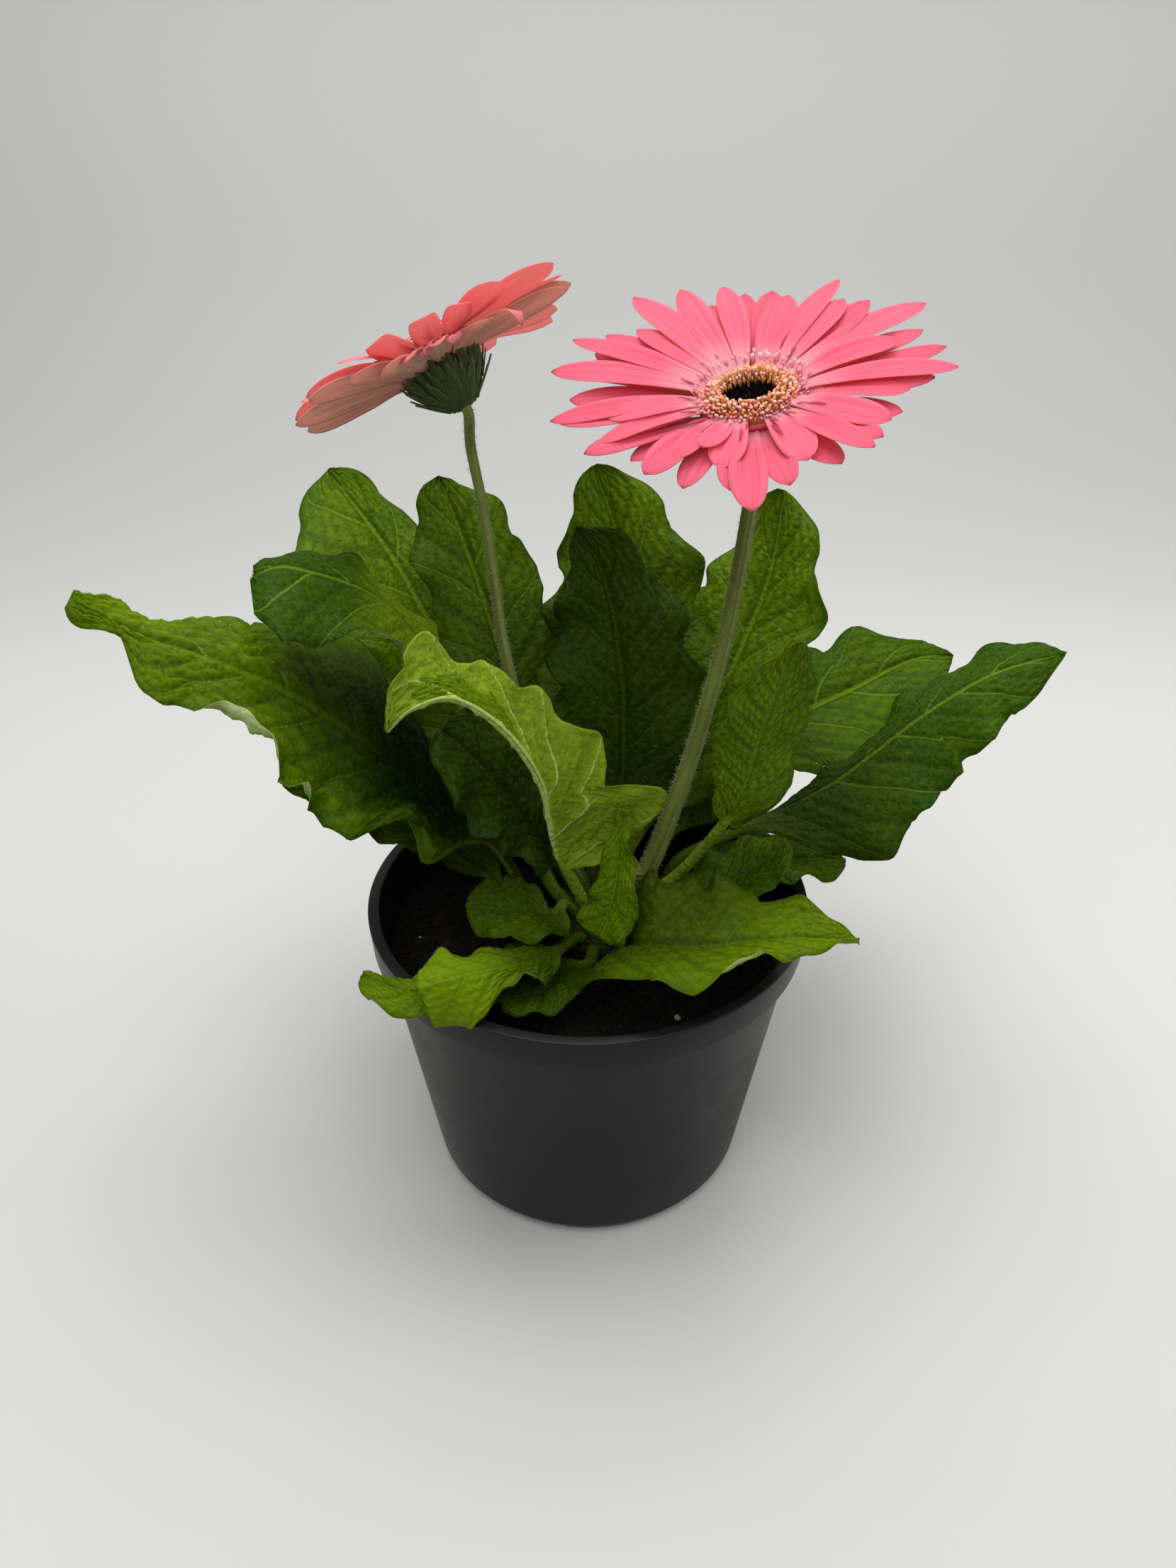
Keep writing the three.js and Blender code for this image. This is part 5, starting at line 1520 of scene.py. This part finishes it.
# %% The soil
POT_RIM_RADIUS = 75
POT_BASE_RADIUS = 56
POT_HEIGHT = 108
POT_WALL = 1.6
RIM_BAND_HEIGHT = 12
RIM_BAND_STEP = 2.2
SOIL_TOP = 91
SOIL_BOTTOM = 8
SOIL_RELIEF = 3  # the lumps stay within this height of the top
SOIL_RINGS = 60
SOIL_SIDES = 180


def wall_radius(z):
    return POT_BASE_RADIUS + (POT_RIM_RADIUS - RIM_BAND_STEP - POT_BASE_RADIUS) * z / POT_HEIGHT


soil_edge = wall_radius(SOIL_TOP) - POT_WALL - 0.2
soil_points = [(0, 0, SOIL_TOP)]
for i in range(1, SOIL_RINGS + 1):
    radius = soil_edge * i / SOIL_RINGS
    for azimuth in around(SOIL_SIDES):
        spot = (radius * math.cos(azimuth), radius * math.sin(azimuth), 0)
        height = lump(spot, 0.045, 1.6) + lump(spot, 0.3, 1.1, 4)
        soil_points.append((*spot[:2], SOIL_TOP + min(max(height, -SOIL_RELIEF), SOIL_RELIEF)))
surface_points = list(soil_points)
surface_faces = [(0, 1 + j, 1 + (j + 1) % SOIL_SIDES) for j in range(SOIL_SIDES)]
surface_faces += ring_faces(SOIL_RINGS, SOIL_SIDES, 1, downwards=True)
low = wall_radius(SOIL_BOTTOM) - POT_WALL - 0.6
soil_points += [(low * math.cos(a), low * math.sin(a), SOIL_BOTTOM) for a in around(SOIL_SIDES)]
side_faces = ring_faces(2, SOIL_SIDES, len(surface_points) - SOIL_SIDES, downwards=True)
soil_faces = [*surface_faces, *side_faces, first_and_last(soil_points, SOIL_SIDES)[1]]
fit(mesh_object("soil_fine", soil_points, soil_faces, {}, peat_finish), "potting_soil", "soil")
soil_surface = mesh_object("soil_surface", surface_points, surface_faces, {}, peat_finish, False)


# %% [markdown]
# ### Loose pieces on the soil
#
# Peat breaks into crumbs, with short fibres and a few pale stones among them. Relief alone would not give
# them their shadows, so each is a small mesh that the scatter tree lays on a copy of the soil's surface.
# The surface is made a little narrower for the crumbs and the fibres, so that none of them pierces the
# pot.

# %% Crumbs, fibres and pale grains on the soil
def pebble_part(name, radius, flat, material, seed, level=1):
    """A small lumpy stone: an icosphere whose points are moved by noise."""
    builder = bmesh.new()
    bmesh.ops.create_icosphere(builder, subdivisions=level, radius=radius)
    builder.verts.ensure_lookup_table()
    points = []
    for vertex in builder.verts:
        grow = 1 + 0.35 * noise.noise(vertex.co * (1.4 / radius) + Vector((seed, seed, seed)))
        points.append(np.array(vertex.co) * grow * (1, 1, flat))
    faces = [tuple(v.index for v in f.verts) for f in builder.faces]
    builder.free()
    return mesh_object(name, points, faces, {}, material, polygons_smooth=False)


crumb_part = pebble_part("crumb_part", 0.8, 0.7, crumb_finish, 1)
grain_part = pebble_part("grain_part", 1.3, 0.75, grain_finish, 5, 2)
fibre_part = turned_part("fibre_part", [(0.16, 0), (0.2, 2), (0.15, 5), (0.06, 7)], 4, crumb_finish, 1.6)
STREWN = [
    # name, part, per square metre, sizes, tumble, seed, finish, share of the last surface's width
    ("soil_crumbs", crumb_part, 330000, (0.35, 1.5), 3.0, 3, crumb_finish, 0.985),
    ("soil_grains", grain_part, 900, (0.3, 0.9), 3.0, 6, grain_finish, 1),
    ("soil_fibres", fibre_part, 22000, (0.4, 0.9), 1.5, 4, crumb_finish, 0.92),
]
for name, part, density, sizes, tumble, seed, material, share in STREWN:
    soil_surface.data.transform(Matrix.Diagonal((share, share, 1, 1)))
    loose = fit(strew(name, soil_surface, part, density, sizes, tumble, seed, material), "potting_soil")
    print(name, len(loose.data.polygons), "faces")
for part in (crumb_part, grain_part, fibre_part, soil_surface):
    bpy.data.objects.remove(part)

# %% [markdown]
# ### The pot
#
# A nursery pot is moulded in one piece: a thin tapered wall with a band at its rim, and a foot with gaps
# for water. All of it is round except for the gaps and holes, so the profile is turned first, with soft
# edges, and the rest is cut afterwards.

# %% The pot
POT_SIDES = 192
POT_FLOOR = 4.4
EDGE_RADIUS = 0.6
EDGE_STEPS = 4


def rounded(points):
    """The same profile with each inner corner replaced by a short arc."""
    made = [points[0]]
    for before, here, after in zip(points, points[1:], points[2:]):
        back = np.array(before, float) - here
        on = np.array(after, float) - here
        reach = min(EDGE_RADIUS, np.linalg.norm(back) / 2.2, np.linalg.norm(on) / 2.2)
        first = here + back / np.linalg.norm(back) * reach
        second = here + on / np.linalg.norm(on) * reach
        for i in range(EDGE_STEPS + 1):
            t = i / EDGE_STEPS
            made.append(tuple((1 - t) ** 2 * first + 2 * t * (1 - t) * np.array(here) + t**2 * second))
    return [*made, points[-1]]


band_foot = POT_HEIGHT - RIM_BAND_HEIGHT
outside = [(wall_radius(z), z) for z in (5, 9, 30, 60, band_foot)]
rim = [(POT_RIM_RADIUS - 0.8, band_foot + 0.6), (POT_RIM_RADIUS, POT_HEIGHT)]
inside = [(wall_radius(z) - POT_WALL, z) for z in (POT_HEIGHT, 6)]
pot_floor = [(wall_radius(6) - POT_WALL - 2, POT_FLOOR), (0, POT_FLOOR)]
pot_profile = rounded([(0, 0), (POT_BASE_RADIUS - 2.5, 0), *outside, *rim, *inside, *pot_floor])
pot_rings = pot_profile[1:-1]
pot_points = [(0, 0, 0)]
for radius, height in pot_rings:
    pot_points += [(radius * math.cos(a), radius * math.sin(a), height) for a in around(POT_SIDES)]
pot_points.append((0, 0, POT_FLOOR))
pot_faces = ring_faces(len(pot_rings), POT_SIDES, 1)
last = 1 + (len(pot_rings) - 1) * POT_SIDES
for j in range(POT_SIDES):
    n = (j + 1) % POT_SIDES
    pot_faces += [(0, 1 + n, 1 + j), (last + j, last + n, len(pot_points) - 1)]
pot = mesh_object("pot_fine", pot_points, pot_faces, {}, pot_finish)
print("pot", len(pot.data.polygons), "faces")

# %% Cut the water gaps and drain holes
FOOT_SLOTS = 4
FOOT_SLOT_AZIMUTH = 248
FOOT_SLOT_WIDTH = 26
FOOT_SLOT_HEIGHT = 2.4
FOOT_SLOT_DEPTH = 11
SLOT_OUTSIDE = 4  # how far a cutter stands out of the foot
DRAIN_RADIUS = 4
DRAIN_INSET = 10
SHARP_FROM = 40  # degrees at which an edge is shaded sharp

slot_size = np.array([FOOT_SLOT_DEPTH + 2 * SLOT_OUTSIDE, FOOT_SLOT_WIDTH, 2 * FOOT_SLOT_HEIGHT])
slot_place = (POT_BASE_RADIUS + SLOT_OUTSIDE - FOOT_SLOT_DEPTH / 2, 0, 0)
unit_corners = [(x, y, z) for x in (-0.5, 0.5) for y in (-0.5, 0.5) for z in (-0.5, 0.5)]
slot_corners = np.array(unit_corners) * slot_size + slot_place
slot_faces = [(0, 1, 3, 2), (4, 6, 7, 5), (0, 4, 5, 1), (2, 3, 7, 6), (0, 2, 6, 4), (1, 5, 7, 3)]
for i in range(FOOT_SLOTS):
    turn = Matrix.Rotation(math.radians(FOOT_SLOT_AZIMUTH + 360 * i / FOOT_SLOTS), 4, "Z")
    slot = mesh_object("slot", slot_corners, slot_faces, {}, pot_finish, polygons_smooth=False)
    drain = turned_part("drain", [(DRAIN_RADIUS, 0), (DRAIN_RADIUS, 20)], 32, pot_finish, sunk=10)
    drain.data.transform(Matrix.Translation(((POT_BASE_RADIUS - DRAIN_INSET) * MM, 0, 0)))
    for cutter in (slot, drain):
        cutter.data.transform(turn)
        cut = pot.modifiers.new("cut", "BOOLEAN")
        cut.operation = "DIFFERENCE"
        cut.solver = "EXACT"
        cut.object = cutter
graph = bpy.context.evaluated_depsgraph_get()
cut_mesh = bpy.data.meshes.new_from_object(pot.evaluated_get(graph), depsgraph=graph)
for cut in list(pot.modifiers):
    bpy.data.objects.remove(cut.object)
pot.modifiers.clear()
pot.data = cut_mesh
pot.data.shade_smooth()
pot.data.set_sharp_from_angle(angle=math.radians(SHARP_FROM))
fit(pot, "pot_plastic", "pot")
print("pot after cutting", len(pot.data.polygons), "faces")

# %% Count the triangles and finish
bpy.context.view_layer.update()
total = sum(len(p.vertices) - 2 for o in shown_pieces() for p in o.data.polygons)
print("triangles in all:", total)
